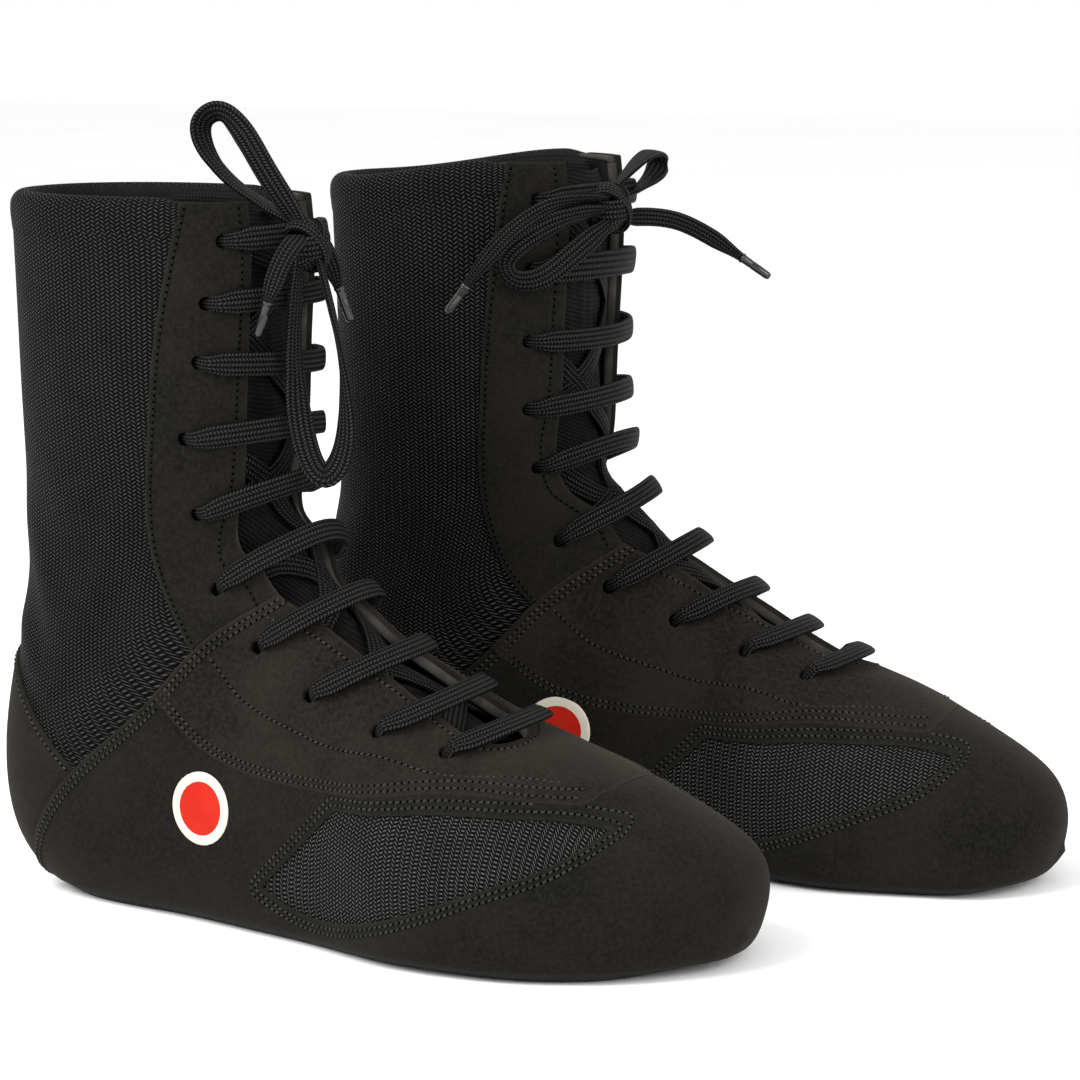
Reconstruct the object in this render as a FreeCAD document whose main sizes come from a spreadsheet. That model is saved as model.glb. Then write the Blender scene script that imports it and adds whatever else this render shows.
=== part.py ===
import FreeCAD, Part
import math
import os
from FreeCAD import Placement, Rotation, Vector

# A pair of high, soft-soled boxing boots. Toes point along +X and the soles rest on Z = 0. The right boot
# is on -Y. Each boot is drawn about its own centre line, Y = 0 with the big toe's side at +Y, and the left
# one is that shape mirrored. Both are then turned toes outwards and set side by side.

DIMENSIONS = [
    ("boot_spacing", 152.8),
    ("boot_stagger", 60.0),
    ("toe_out_angle", 6.5),
    ("pair_shift_x", -3.5),
    ("pair_shift_y", 0.0),
    ("collar_height", 252.0),
    ("sole_thickness", 3.5),
    ("board_thickness", 2.0),
    ("sock_thickness", 4.0),
    ("upper_thickness", 1.6),
    ("stiffener_thickness", 1.2),
    ("lining_depth", 5.0),
    ("collar_pad_height", 11.0),
    ("throat_width", 38.0),
    ("tongue_depth", 8.4),
    ("tongue_thickness", 2.6),
    ("tongue_width", 46.0),
    ("eyelet_diameter", 5.6),
    ("lace_width", 5.0),
    ("lace_thickness", 2.0),
    ("lace_gap", 0.3),
    ("cord_diameter", 5.0),
    ("knot_depth", 12.0),
    ("knot_width", 18.0),
    ("knot_height", 16.0),
    ("aglet_diameter", 3.2),
    ("aglet_length", 12.0),
    ("emblem_thickness", 0.6),
    ("emblem_diameter", 26.0),
]

doc = FreeCAD.newDocument("BoxingBoots")
sheet = doc.addObject("Spreadsheet::Sheet", "Dimensions")
for row, (name, value) in enumerate(DIMENSIONS, start=1):
    sheet.set(f"A{row}", name)
    sheet.set(f"B{row}", str(value))
    sheet.setAlias(f"B{row}", name)
doc.recompute()


def dim(name):
    return float(sheet.get(name))


# Sections of the boot from toe tip to above the collar. Each lies in a plane through the Y direction:
# lower or back point (x, z), upper or front point (x, z), half width, shift towards the big toe,
# where it is widest (0 lower, 1 upper), squareness of its lower half and of its upper half.
SECTIONS = [
    ((150.0, 8.0), (152.0, 15.0), 4.0, 9.0, 0.5, 2.4, 2.2),
    ((147.0, 5.0), (153.0, 24.0), 13.0, 11.0, 0.45, 3.0, 2.2),
    ((141.0, 3.0), (150.0, 35.0), 25.0, 12.5, 0.4, 3.8, 2.2),
    ((131.0, 1.0), (140.0, 45.0), 37.5, 11.5, 0.38, 4.4, 2.1),
    ((118.0, -1.0), (119.0, 57.0), 46.0, 8.0, 0.35, 5.0, 2.0),
    ((95.0, -2.0), (93.0, 69.0), 53.0, 3.0, 0.3, 5.0, 2.0),
    ((72.0, -2.0), (66.0, 79.0), 56.0, 1.0, 0.3, 5.0, 1.9),
    ((42.0, -2.0), (39.0, 93.0), 51.0, -3.5, 0.3, 5.0, 1.9),
    ((6.0, -2.0), (19.0, 108.0), 38.0, -6.0, 0.3, 5.0, 1.9),
    ((-26.0, -2.0), (4.0, 120.0), 34.0, -5.0, 0.35, 4.5, 2.0),
    ((-67.0, -2.0), (-9.0, 134.0), 32.0, -2.0, 0.4, 4.0, 2.0),
    ((-114.0, 0.0), (-15.0, 142.0), 35.5, 1.0, 0.5, 3.0, 2.1),
    ((-140.0, 17.0), (-20.0, 146.0), 36.5, 2.0, 0.5, 2.4, 2.1),
    ((-146.5, 50.0), (-22.0, 151.0), 34.5, 1.0, 0.5, 2.2, 2.2),
    ((-139.0, 91.0), (-21.0, 160.0), 35.0, 0.0, 0.5, 2.1, 2.2),
    ((-132.5, 132.0), (-22.5, 177.0), 39.5, 0.0, 0.5, 2.1, 2.2),
    ((-131.5, 180.0), (-23.0, 211.0), 43.5, -1.0, 0.5, 2.1, 2.2),
    ((-133.0, 222.0), (-22.0, 241.0), 44.5, -1.0, 0.5, 2.1, 2.2),
    ((-134.5, 256.0), (-24.0, 262.0), 44.5, -1.0, 0.5, 2.1, 2.2),
    ((-135.5, 280.0), (-25.0, 284.0), 44.5, -1.0, 0.5, 2.1, 2.2),
]
SIDE_POINTS = 16
BEND_WEIGHT = 20.0
TIP_START = 60.0
FAR = 400.0

# Seams in the side view, as (x, z) points. The two sides of the boot have the same ones.
DIAGONAL_SEAM = [(20, 160), (-14, 121), (-40, 103), (-61, 81), (-101, 47), (-117, 29), (-128, 9), (-131, -10)]
SIDE_SEAM = [(-90, 105), (-61, 81), (-43, 65), (-20, 58), (8, 56), (34, 57), (60, 60), (84, 59), (106, 57)]
TOE_SEAM = [(106, 57), (113, 66), (116, 80), (116, 110)]
SHAFT_EDGE = [(-36, 300), (-42, 254), (-50, 211), (-57, 166), (-58, 122), (-45, 98)]
HEEL_EDGE = [(-97, 50), (-113, 63), (-130, 82), (-170, 118)]
WINDOW_FRONT = [(-12, 19), (5, 13), (33, 14), (60, 22), (85, 32), (106, 41), (117, 50)]
WINDOW_TOP = [(117, 50), (104, 53), (84, 54), (60, 54), (40, 52), (22, 51)]
THROAT_BACK = [(-62, 300), (-62, 160), (-50, 120), (-25, 92), (15, 72), (58, 52)]
THROAT_END = (58.0, -2.0)
EYELETS = [
    (-38, 244), (-42, 222), (-45, 199), (-47, 173), (-46, 146),
    (-38, 121), (-21, 101), (4, 87), (34, 78), (58, 72),
]
LACE_CRESTS = [
    (-22, 243), (-22, 222), (-23, 200), (-22, 177), (-21, 157),
    (-11, 138), (8, 117), (32, 99), (55, 85), (76, 76),
]
# Behind the throat, the lace runs from a row on one side to a higher row on the other.
CROSSINGS = {
    -1: [(10, 8), (8, 6), (6, 4), (4, 2), (2, 1)],
    1: [(10, 9), (9, 7), (7, 5), (5, 3), (3, 1)],
}
EMBLEM_CENTRE = (-40, 43)
HEEL_EMBLEM = ((-150.0, -1.0, 56.0), 22.0)


def inset_section(section, inset):
    """The same section with its walls moved inwards. The flat underside moves down instead, clear of the sole."""
    (bx, bz), (tx, tz), half_width, shift, belly, square_low, square_high = section
    length = math.hypot(tx - bx, tz - bz)
    step = min(inset, 0.35 * length) / length
    step_x, step_z = (tx - bx) * step, (tz - bz) * step
    if bz > 0.5:
        bx, bz = bx + step_x, bz + step_z
    else:
        bz = bz - 0.5 * inset
    tx, tz = tx - step_x, tz - step_z
    tip = SECTIONS[0][1][0]
    squeeze = (tip - TIP_START - inset) / (tip - TIP_START)
    if bx > TIP_START:
        bx = TIP_START + (bx - TIP_START) * squeeze
        tx = TIP_START + (tx - TIP_START) * squeeze
    half_width = max(half_width - inset, 0.4 * half_width)
    return (bx, bz), (tx, tz), half_width, shift, belly, square_low, square_high


def section_point(section, turn):
    """A point of a section. Turn is 0 at its lower or back point and pi at its upper or front one."""
    (bx, bz), (tx, tz), half_width, shift, belly, square_low, square_high = section
    power = 2.0 / (square_low if math.cos(turn) > 0 else square_high)
    along = math.copysign(abs(math.cos(turn)) ** power, math.cos(turn))
    across = math.copysign(abs(math.sin(turn)) ** power, math.sin(turn))
    part = belly * (1 - along) if along > 0 else belly - (1 - belly) * along
    return Vector(bx + (tx - bx) * part, shift + half_width * across, bz + (tz - bz) * part)


def section_side(section, start):
    """Points along half of a section, closer together where it bends more."""
    steps = 400
    line = [section_point(section, start + math.pi * i / steps) for i in range(steps + 1)]
    measure = [0.0, (line[1] - line[0]).Length]
    for i in range(2, steps + 1):
        step = line[i] - line[i - 1]
        bend = step.getAngle(line[i - 1] - line[i - 2])
        measure.append(measure[-1] + step.Length + BEND_WEIGHT * bend)
    chosen = []
    place = 0
    for k in range(SIDE_POINTS + 1):
        while place < steps and measure[place] < measure[-1] * k / SIDE_POINTS:
            place += 1
        chosen.append(line[place])
    return chosen


def skin(inset):
    """The boot as one solid, with its walls moved inwards (outwards where inset is negative)."""
    grid = []
    for section in SECTIONS:
        moved = inset_section(section, inset)
        ring = section_side(moved, 0.0) + section_side(moved, math.pi)[1:]
        ring[-1] = Vector(ring[0])
        grid.append(ring)
    whole = Part.BSplineSurface()
    whole.interpolate(grid)
    low, high, left, right = whole.bounds()
    middle = min(whole.getVKnots(), key=lambda knot: abs(knot - (left + right) / 2))
    halves = []
    for start, end in ((left, middle), (middle, right)):
        half = whole.copy()
        half.segment(low, high, start, end)
        halves.append(half)
    faces = [half.toShape() for half in halves]
    for end in (low, high):
        rim = [half.uIso(end).toShape() for half in halves]
        faces.append(Part.Face(Part.Wire(Part.__sortEdges__(rim))))
    shell = Part.Compound(faces)
    shell.sewShape(0.0001)
    solid = Part.makeSolid(shell.Shells[0])
    if solid.Volume < 0:
        solid.reverse()
    return solid


def band(low, high):
    """Everything between two heights."""
    return Part.makeBox(2 * FAR, 2 * FAR, high - low, Vector(-FAR, -FAR, low))


def shell(outer, inner, low, high):
    """The layer between two skins and two heights."""
    return skin(outer).common(band(low, high)).cut(skin(inner))


def curve_edge(points):
    """A smooth edge through (x, z) points of the side view."""
    curve = Part.BSplineCurve()
    curve.interpolate([Vector(x, -FAR, z) for x, z in points])
    return curve.toShape()


def side_region(*runs, corners=()):
    """The space inside an outline of the side view: smooth runs, joined end to end, then straight corners."""
    edges = [curve_edge(run) for run in runs]
    stops = [runs[-1][-1], *corners, runs[0][0]]
    for (x0, z0), (x1, z1) in zip(stops, stops[1:]):
        start, end = Vector(x0, -FAR, z0), Vector(x1, -FAR, z1)
        if (start - end).Length > 0.001:
            edges.append(Part.makeLine(start, end))
    return Part.Face(Part.Wire(edges)).extrude(Vector(0, 2 * FAR, 0))


def biggest(shape):
    return max(shape.Solids, key=lambda solid: solid.Volume)


def throat(width, end_x):
    """The slot down the front of the shaft and along the instep, rounded at its toe end."""
    outline = [Vector(x, THROAT_END[1] - width / 2, z) for x, z in THROAT_BACK]
    outline += [Vector(THROAT_END[0], outline[0].y, 300)]
    face = Part.Face(Part.Wire(Part.makePolygon(outline + outline[:1])))
    slot = face.extrude(Vector(0, width, 0))
    end = Part.makeCylinder(width / 2, 260, Vector(end_x, THROAT_END[1], 52))
    return slot.fuse(end)


def surface_point(shape, x, z, side):
    """Where a sideways line through (x, z) leaves the shape, and the outward normal there."""
    line = Part.makeLine(Vector(x, 0, z), Vector(x, side * FAR, z)).common(shape)
    point = max((vertex.Point for vertex in line.Vertexes), key=lambda p: side * p.y)
    for face in shape.Faces:
        if face.distToShape(Part.Vertex(point))[0] < 0.01:
            u, v = face.Surface.parameter(point)
            normal = face.normalAt(u, v)
            return point, normal if normal.y * side > 0 else normal.negative()
    raise ValueError("no face at the point")


def strip(start, end, outward, width, margin):
    """A slab along the line from start to end, standing out from it, for cutting a length of lace."""
    along = (end - start).normalize()
    outward = outward - along * outward.dot(along)
    outward.normalize()
    across = outward.cross(along)
    corner = start - along * margin - across * (width / 2) - outward * 9
    length = (end - start).Length + 2 * margin
    frame = FreeCAD.Matrix(
        along.x, across.x, outward.x, corner.x,
        along.y, across.y, outward.y, corner.y,
        along.z, across.z, outward.z, corner.z,
        0, 0, 0, 1,
    )
    slab = Part.makeBox(length, width, 70)
    slab.Placement = Placement(frame)
    return slab


def cord_route(points):
    """Straight runs joined by arcs. An arc ends at 0.45 of the shorter run beside it."""
    points = [Vector(*point) for point in points]
    edges = []
    last = points[0]
    for before, corner, after in zip(points, points[1:], points[2:]):
        back = (before - corner).normalize()
        ahead = (after - corner).normalize()
        reach = 0.45 * min((before - corner).Length, (after - corner).Length)
        start, end = corner + back * reach, corner + ahead * reach
        half_turn = (math.pi - back.getAngle(ahead)) / 2
        radius = reach / math.tan(half_turn)
        inward = (back + ahead).normalize()
        middle = corner + inward * (radius / math.cos(half_turn) - radius)
        edges += [Part.makeLine(last, start), Part.Arc(start, middle, end).toShape()]
        last = end
    edges.append(Part.makeLine(last, points[-1]))
    return Part.Wire(edges)


def cord(points, diameter):
    """A round cord along a route."""
    route = cord_route(points)
    start = Vector(*points[0])
    direction = Vector(*points[1]) - start
    profile = Part.Wire(Part.makeCircle(diameter / 2, start, direction))
    solid = route.makePipeShell([profile], True, False)
    expected = math.pi * (diameter / 2) ** 2 * route.Length
    if abs(abs(solid.Volume) / expected - 1) > 0.05:
        raise ValueError("the cord's volume does not match its length")
    return solid


def upper_pieces():
    """The panels of the upper, with the throat and the eyelets still to be cut."""
    whole = shell(0, dim("upper_thickness"), dim("sole_thickness"), dim("collar_height"))
    low = side_region(DIAGONAL_SEAM, corners=[(FAR, -10), (FAR, 160)])
    vamp_side = side_region(SIDE_SEAM, TOE_SEAM, corners=[(FAR, 110), (FAR, -20), (-200, -20), (-200, 105)])
    window = side_region(WINDOW_FRONT, WINDOW_TOP)
    behind = side_region(SHAFT_EDGE, corners=[(-97, 50), (-FAR, 50), (-FAR, 300)])
    under = side_region(HEEL_EDGE, corners=[(-FAR, 118), (-FAR, -20), (-60, -20), (-60, 50)])
    lower = whole.common(low)
    rest = whole.cut(low)
    vamp = lower.common(vamp_side)
    instep = lower.cut(vamp_side)
    meshes = vamp.common(window)
    vamp = vamp.cut(window)
    heel = rest.common(under)
    rest = rest.cut(under)
    shaft = rest.common(behind)
    facings = rest.cut(behind)
    pad_zone = band(dim("collar_height") - dim("collar_pad_height"), dim("collar_height"))
    return {
        "vamp": vamp,
        "instep_panel": instep,
        "vamp_mesh": meshes,
        "heel_cover": heel,
        "shaft_mesh": shaft.cut(pad_zone),
        "facings": facings,
    }, behind.common(pad_zone)


def lining_pieces(collar_zone):
    """Stiffeners, linings and the collar pad."""
    outer, inner = dim("upper_thickness"), dim("lining_depth")
    base, top = dim("sole_thickness") + dim("board_thickness"), dim("collar_height")
    stiffening = shell(outer, outer + dim("stiffener_thickness"), base, top)
    counter = stiffening.common(side_region([(-72, -20), (-78, 30), (-96, 56), (-170, 64)], corners=[(-FAR, -20)]))
    puff = stiffening.common(Part.makeBox(100, 2 * FAR, 120, Vector(108, -FAR, 0)))
    lining = shell(outer, inner, base, top).cut(counter).cut(puff)
    front = Part.makeBox(FAR, 2 * FAR, FAR, Vector(-2, -FAR, 0))
    pad = shell(0, inner, top - dim("collar_pad_height"), top).common(collar_zone)
    return {
        "heel_counter": counter,
        "toe_puff": puff,
        "vamp_lining": lining.common(front),
        "quarter_lining": lining.cut(front).cut(collar_zone),
        "collar_pad": pad,
    }


def tongue():
    """The tongue, behind the lace, down the front of the shaft and along the instep."""
    depth = dim("tongue_depth")
    whole = shell(depth, depth + dim("tongue_thickness"), 20, dim("collar_height") - 5)
    width = dim("tongue_width")
    outline = [Vector(x, -width / 2 - 2, z) for x, z in THROAT_BACK[:-1]]
    outline += [Vector(62, outline[0].y, 48), Vector(62, outline[0].y, 300)]
    face = Part.Face(Part.Wire(Part.makePolygon(outline + outline[:1])))
    return biggest(whole.common(face.extrude(Vector(0, width, 0))))


def lace(outside):
    """The threaded lace: a bar across the throat at each row, and the crossings behind it."""
    width, thickness, gap = dim("lace_width"), dim("lace_thickness"), dim("lace_gap")
    ends = {}
    for row, (x, z) in enumerate(EYELETS, start=1):
        for side in (-1, 1):
            ends[row, side] = surface_point(outside, x, z, side)
    bars = []
    for row, ((x, z), (crest_x, crest_z)) in enumerate(zip(EYELETS, LACE_CRESTS), start=1):
        outward = Vector(crest_x - x, 0, crest_z - z)
        bars.append(strip(ends[row, -1][0], ends[row, 1][0], outward, width, 0.4 * width))
    crossings = []
    for side, rows in CROSSINGS.items():
        for low, high in rows:
            (start, one), (end, other) = ends[low, -side], ends[high, side]
            outward = Vector(one.x + other.x, 0, one.z + other.z)
            crossings.append(strip(start, end, outward, width, 0.4 * width))
    over = shell(-gap - thickness, -gap, 20, 270).common(bars[0].multiFuse(bars[1:]))
    depth = dim("lining_depth")
    under = shell(depth + gap, depth + gap + thickness, 20, 270).common(crossings[0].multiFuse(crossings[1:]))
    posts = []
    for point, normal in ends.values():
        length = depth + 2 * gap + 1.6 * thickness
        foot = point - normal * (depth + gap + 0.6 * thickness)
        posts.append(Part.makeCylinder(0.42 * width, length, foot, normal))
    whole = over.multiFuse([under] + posts)
    holes = []
    for point, normal in ends.values():
        holes.append(Part.makeCylinder(dim("eyelet_diameter") / 2, 14, point - normal * 8, normal))
    return whole, holes


def on_side(shape, side):
    """The largest solid of a shape on one side of the centre line."""
    return biggest(Part.Compound([solid for solid in shape.Solids if solid.CenterOfMass.y * side > 0]))


def emblems():
    """Flat emblems on the outer side, the big toe's side and the back of the heel."""
    layer = shell(-dim("emblem_thickness"), 0, 5, 200)
    x, z = EMBLEM_CENTRE
    sides = layer.common(Part.makeCylinder(dim("emblem_diameter") / 2, 2 * FAR, Vector(x, -FAR, z), Vector(0, 1, 0)))
    point, diameter = HEEL_EMBLEM
    heel = layer.common(Part.makeCylinder(diameter / 2, 40, Vector(*point) + Vector(-20, 0, 0), Vector(1, 0, 0)))
    return {"emblem_outer": on_side(sides, -1), "emblem_inner": on_side(sides, 1), "emblem_heel": biggest(heel)}


def boot_pieces():
    """Every moulded, sewn or threaded piece of the right boot about its own centre line."""
    pieces, collar_zone = upper_pieces()
    pieces.update(lining_pieces(collar_zone))
    pieces["lace"], holes = lace(skin(0))
    opening = throat(dim("throat_width"), THROAT_END[0]).multiFuse(holes)
    for name in ("instep_panel", "facings", "vamp_lining", "quarter_lining", "collar_pad"):
        pieces[name] = pieces[name].cut(opening)
    facings, meshes = pieces.pop("facings"), pieces.pop("vamp_mesh")
    for name, side in (("outer", -1), ("inner", 1)):
        pieces[f"facing_{name}"] = on_side(facings, side)
        pieces[f"vamp_mesh_{name}"] = on_side(meshes, side)
    pieces["outsole"] = skin(0).common(band(0, dim("sole_thickness")))
    pieces["tongue"] = tongue()
    pieces.update(emblems())
    return {name: biggest(shape) for name, shape in pieces.items()}


def footprint(inset, height):
    """Points round the inside of the boot at a height."""
    wires = skin(inset).slice(Vector(0, 0, 1), height)
    longest = max(wires, key=lambda wire: wire.Length)
    return longest.discretize(Number=29)[:-1]


def plate(name, points, placement, height, thickness):
    """A flat PartDesign piece with the given outline."""
    body = doc.addObject("PartDesign::Body", name)
    outline = body.newObject("Sketcher::SketchObject", f"{name}_outline")
    plane = next(feature for feature in body.Origin.OriginFeatures if feature.Role == "XY_Plane")
    outline.AttachmentSupport = [(plane, "")]
    outline.MapMode = "FlatFace"
    curve = Part.BSplineCurve()
    curve.interpolate(points, PeriodicFlag=True)
    outline.addGeometry(curve, False)
    pad = body.newObject("PartDesign::Pad", f"{name}_pad")
    pad.Profile = outline
    pad.setExpression("Length", f"<<Dimensions>>.{thickness}")
    outline.Visibility = False
    body.Placement = placement
    body.setExpression(".Placement.Base.z", height)
    body.Label = name
    return body


def solid_piece(name, shape, placement):
    piece = doc.addObject("Part::Feature", name)
    piece.Shape = shape
    piece.Placement = placement
    piece.Label = name
    return piece


def knot(name, centre, placement):
    piece = doc.addObject("Part::Ellipsoid", name)
    piece.setExpression("Radius1", "<<Dimensions>>.knot_height / 2")
    piece.setExpression("Radius2", "<<Dimensions>>.knot_depth / 2")
    piece.setExpression("Radius3", "<<Dimensions>>.knot_width / 2")
    piece.Placement = placement * Placement(Vector(*centre), Rotation())
    piece.Label = name
    return piece


def aglet(name, points, placement):
    """The tip on the end of a lace, in line with its last run."""
    piece = doc.addObject("Part::Cylinder", name)
    piece.setExpression("Radius", "<<Dimensions>>.aglet_diameter / 2")
    piece.setExpression("Height", "<<Dimensions>>.aglet_length")
    end = Vector(*points[-1])
    along = end - Vector(*points[-2])
    piece.Placement = placement * Placement(end, Rotation(Vector(0, 0, 1), along))
    piece.Label = name
    return piece


# The bows differ as tied. Every point is in its own boot's frame.
KNOTS = {"right": (-14.0, -5.0, 240.0), "left": (-14.0, -3.0, 246.5)}
ROUTES = {
    "right": {
        "loop_up": [
            (-13, -7, 245), (-30, -10, 259), (-46, -10, 284), (-53, -9, 289),
            (-60, -8, 284), (-55, -6, 270), (-39, -3, 256), (-18, -1, 246),
        ],
        "loop_down": [
            (-14, -10, 236), (-16, -12, 209), (-14, -12, 184), (-9, -12, 165), (-3, -11, 159),
            (3, -10, 166), (5, -9, 180), (2, -8, 207), (-9, -5, 235),
        ],
        "tail_outer": [(-13, -10, 243), (-11, -22, 242), (-16, -25, 231), (-19, -24, 218)],
        "tail_inner": [(-11, 0, 236), (-8, 9, 231), (-3, 12, 221), (3, 13, 209)],
    },
    "left": {
        "loop_down": [
            (-14, -9, 246), (-27, -33, 246), (-48, -46, 236), (-57, -48, 227),
            (-53, -47, 219), (-40, -43, 221), (-22, -29, 234), (-13, -9, 240.5),
        ],
        "loop_up": [
            (-14, 1, 253), (-12, 12, 263), (-14, 27, 267), (-16, 33, 262),
            (-15, 28, 256), (-12, 16, 252), (-12, 4, 249),
        ],
        "tail_outer": [(-14, -8, 251), (-30, -36, 253), (-46, -49, 246), (-59, -53, 235), (-70, -52, 224)],
        "tail_inner": [(-11, 3, 241), (-2, 6, 241), (9, 8, 236), (24, 10, 226)],
    },
}
PLACES = {
    "right": Placement(
        Vector(dim("pair_shift_x") - dim("boot_stagger") / 2, dim("pair_shift_y") - dim("boot_spacing") / 2, 0),
        Rotation(Vector(0, 0, 1), -dim("toe_out_angle")),
    ),
    "left": Placement(
        Vector(dim("pair_shift_x") + dim("boot_stagger") / 2, dim("pair_shift_y") + dim("boot_spacing") / 2, 0),
        Rotation(Vector(0, 0, 1), dim("toe_out_angle")),
    ),
}

shapes = boot_pieces()
board_outline = footprint(dim("upper_thickness") + 0.3, dim("sole_thickness") + 0.1)
sock_height = dim("sole_thickness") + dim("board_thickness") + 0.5
sock_outline = footprint(dim("lining_depth") + 1.2, sock_height)
nodes = []
for side, place in PLACES.items():
    mirrored = side == "left"
    for name, shape in shapes.items():
        drawn = shape.mirror(Vector(0, 0, 0), Vector(0, 1, 0)) if mirrored else shape
        nodes.append(solid_piece(f"{side}_{name}", drawn, place))
    flip = -1 if mirrored else 1
    board = [Vector(p.x, flip * p.y, 0) for p in board_outline]
    sock = [Vector(p.x, flip * p.y, 0) for p in sock_outline]
    nodes.append(plate(f"{side}_insole_board", board, place, "<<Dimensions>>.sole_thickness", "board_thickness"))
    sock_base = "<<Dimensions>>.sole_thickness + <<Dimensions>>.board_thickness + 0.5"
    nodes.append(plate(f"{side}_sock_liner", sock, place, sock_base, "sock_thickness"))
    ball = knot(f"{side}_knot", KNOTS[side], place)
    nodes.append(ball)
    doc.recompute()
    tied = ball.Shape.copy()
    tied.Placement = place.inverse() * ball.Placement
    threaded = shapes["lace"].mirror(Vector(0, 0, 0), Vector(0, 1, 0)) if mirrored else shapes["lace"]
    for name, points in ROUTES[side].items():
        shape = biggest(cord(points, dim("cord_diameter")).cut(tied).cut(threaded))
        nodes.append(solid_piece(f"{side}_{name}", shape, place))
    for name in ("outer", "inner"):
        nodes.append(aglet(f"{side}_aglet_{name}", ROUTES[side][f"tail_{name}"], place))

doc.recompute()
for item in doc.Objects:
    if "Invalid" in item.State or "Error" in item.State:
        raise RuntimeError(f"{item.Label}: {item.State}")
for node in nodes:
    if node.Shape.isNull() or not node.Shape.isValid() or len(node.Shape.Solids) != 1:
        raise RuntimeError(f"{node.Label} is not one valid solid")

os.makedirs("parts", exist_ok=True)
for node in nodes:
    node.Shape.exportStep(f"parts/{node.Label}.step")

low = [min(getattr(node.Shape.BoundBox, axis + "Min") for node in nodes) for axis in "XYZ"]
high = [max(getattr(node.Shape.BoundBox, axis + "Max") for node in nodes) for axis in "XYZ"]
print(len(nodes), "pieces, from", low, "to", high)
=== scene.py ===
"""A pair of lace-up boxing boots: suede and air-mesh uppers, flat braided laces in bows, thin rubber soles.

Shapes are worked out in each boot's own frame, in millimetres: X to the toes, Y to the big toe of the right
boot, Z up. place() turns them into metres in the frame of the pair. The left boot is the right one mirrored.
"""

import math
import random

import bpy
import numpy as np
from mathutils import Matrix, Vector
from mathutils.bvhtree import BVHTree


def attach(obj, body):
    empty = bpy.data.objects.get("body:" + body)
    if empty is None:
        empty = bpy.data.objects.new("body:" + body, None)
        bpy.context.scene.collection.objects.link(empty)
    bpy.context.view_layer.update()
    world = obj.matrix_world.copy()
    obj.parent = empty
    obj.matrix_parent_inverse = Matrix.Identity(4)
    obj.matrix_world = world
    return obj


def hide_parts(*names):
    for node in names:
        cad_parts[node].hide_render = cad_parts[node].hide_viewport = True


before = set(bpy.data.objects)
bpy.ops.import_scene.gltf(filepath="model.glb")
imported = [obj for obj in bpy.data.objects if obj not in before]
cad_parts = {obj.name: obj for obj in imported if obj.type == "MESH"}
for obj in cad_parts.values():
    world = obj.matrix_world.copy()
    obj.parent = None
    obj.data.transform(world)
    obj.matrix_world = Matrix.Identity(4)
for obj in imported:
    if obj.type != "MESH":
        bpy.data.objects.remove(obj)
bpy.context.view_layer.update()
rng = random.Random(11)

MM = 0.001
SIDES = ("right", "left")
# Where each boot stands in the pair: its shift in X and Y, and its turn in degrees.
PLACES = {"right": (-33.5, -76.4, -6.5), "left": (26.5, 76.4, 6.5)}
COLLAR_TOP = 256.5
COLLAR_RISE = 8.0  # how much higher the front of the left collar comes
SOLE_TOP = 3.5
THROAT_END = 60.0  # X of the middle of the throat's round end
LINING_DEPTH = 4.8
SUEDE_LIFT = 0.75  # how far the suede stands over the skin
HOLE_RADIUS = 2.7
LACE_WIDTH = 8.2
LACE_THICKNESS = 2.3
MESH_COLUMNS = 160  # knit columns round the shaft
MESH_ROW = 1.42  # the height of a knit row
GRID_ROWS = 250
GRID_COLUMNS = 176
SNAP = 0.06  # a vertex this near a cut counts as on it

# Each section of a boot, from the toe's tip over the ankle to the collar: its lower or back point and its
# upper or front point as (x, z), half width, shift towards the big toe, where it is widest from back to
# front, and how square its lower and upper corners are.
SECTIONS = [
    ((150.0, 8.0), (152.0, 15.0), 4.0, 9.0, 0.5, 2.4, 2.2),
    ((147.0, 5.0), (153.0, 24.0), 13.0, 11.0, 0.45, 3.0, 2.2),
    ((141.0, 3.0), (150.0, 35.0), 25.0, 12.5, 0.4, 3.8, 2.2),
    ((131.0, 1.0), (140.0, 45.0), 37.5, 11.5, 0.38, 4.4, 2.1),
    ((118.0, -1.0), (119.0, 57.0), 46.0, 8.0, 0.35, 5.0, 2.0),
    ((95.0, -2.0), (93.0, 69.0), 53.0, 3.0, 0.3, 5.0, 2.0),
    ((72.0, -2.0), (66.0, 79.0), 56.0, 1.0, 0.3, 5.0, 1.9),
    ((42.0, -2.0), (39.0, 93.0), 51.0, -3.5, 0.3, 5.0, 1.9),
    ((6.0, -2.0), (19.0, 108.0), 38.0, -6.0, 0.3, 5.0, 1.9),
    ((-26.0, -2.0), (4.0, 120.0), 34.0, -5.0, 0.35, 4.5, 2.0),
    ((-67.0, -2.0), (-9.0, 134.0), 32.0, -2.0, 0.4, 4.0, 2.0),
    ((-114.0, 0.0), (-15.0, 142.0), 35.5, 1.0, 0.5, 3.0, 2.1),
    ((-140.0, 17.0), (-20.0, 146.0), 36.5, 2.0, 0.5, 2.4, 2.1),
    ((-146.5, 50.0), (-22.0, 151.0), 34.5, 1.0, 0.5, 2.2, 2.2),
    ((-139.0, 91.0), (-21.0, 160.0), 35.0, 0.0, 0.5, 2.1, 2.2),
    ((-132.5, 132.0), (-22.5, 177.0), 39.5, 0.0, 0.5, 2.1, 2.2),
    ((-131.5, 180.0), (-23.0, 211.0), 43.5, -1.0, 0.5, 2.1, 2.2),
    ((-133.0, 222.0), (-22.0, 241.0), 44.5, -1.0, 0.5, 2.1, 2.2),
    ((-134.5, 256.0), (-24.0, 262.0), 44.5, -1.0, 0.5, 2.1, 2.2),
    ((-135.5, 280.0), (-25.0, 284.0), 44.5, -1.0, 0.5, 2.1, 2.2),
]

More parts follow.
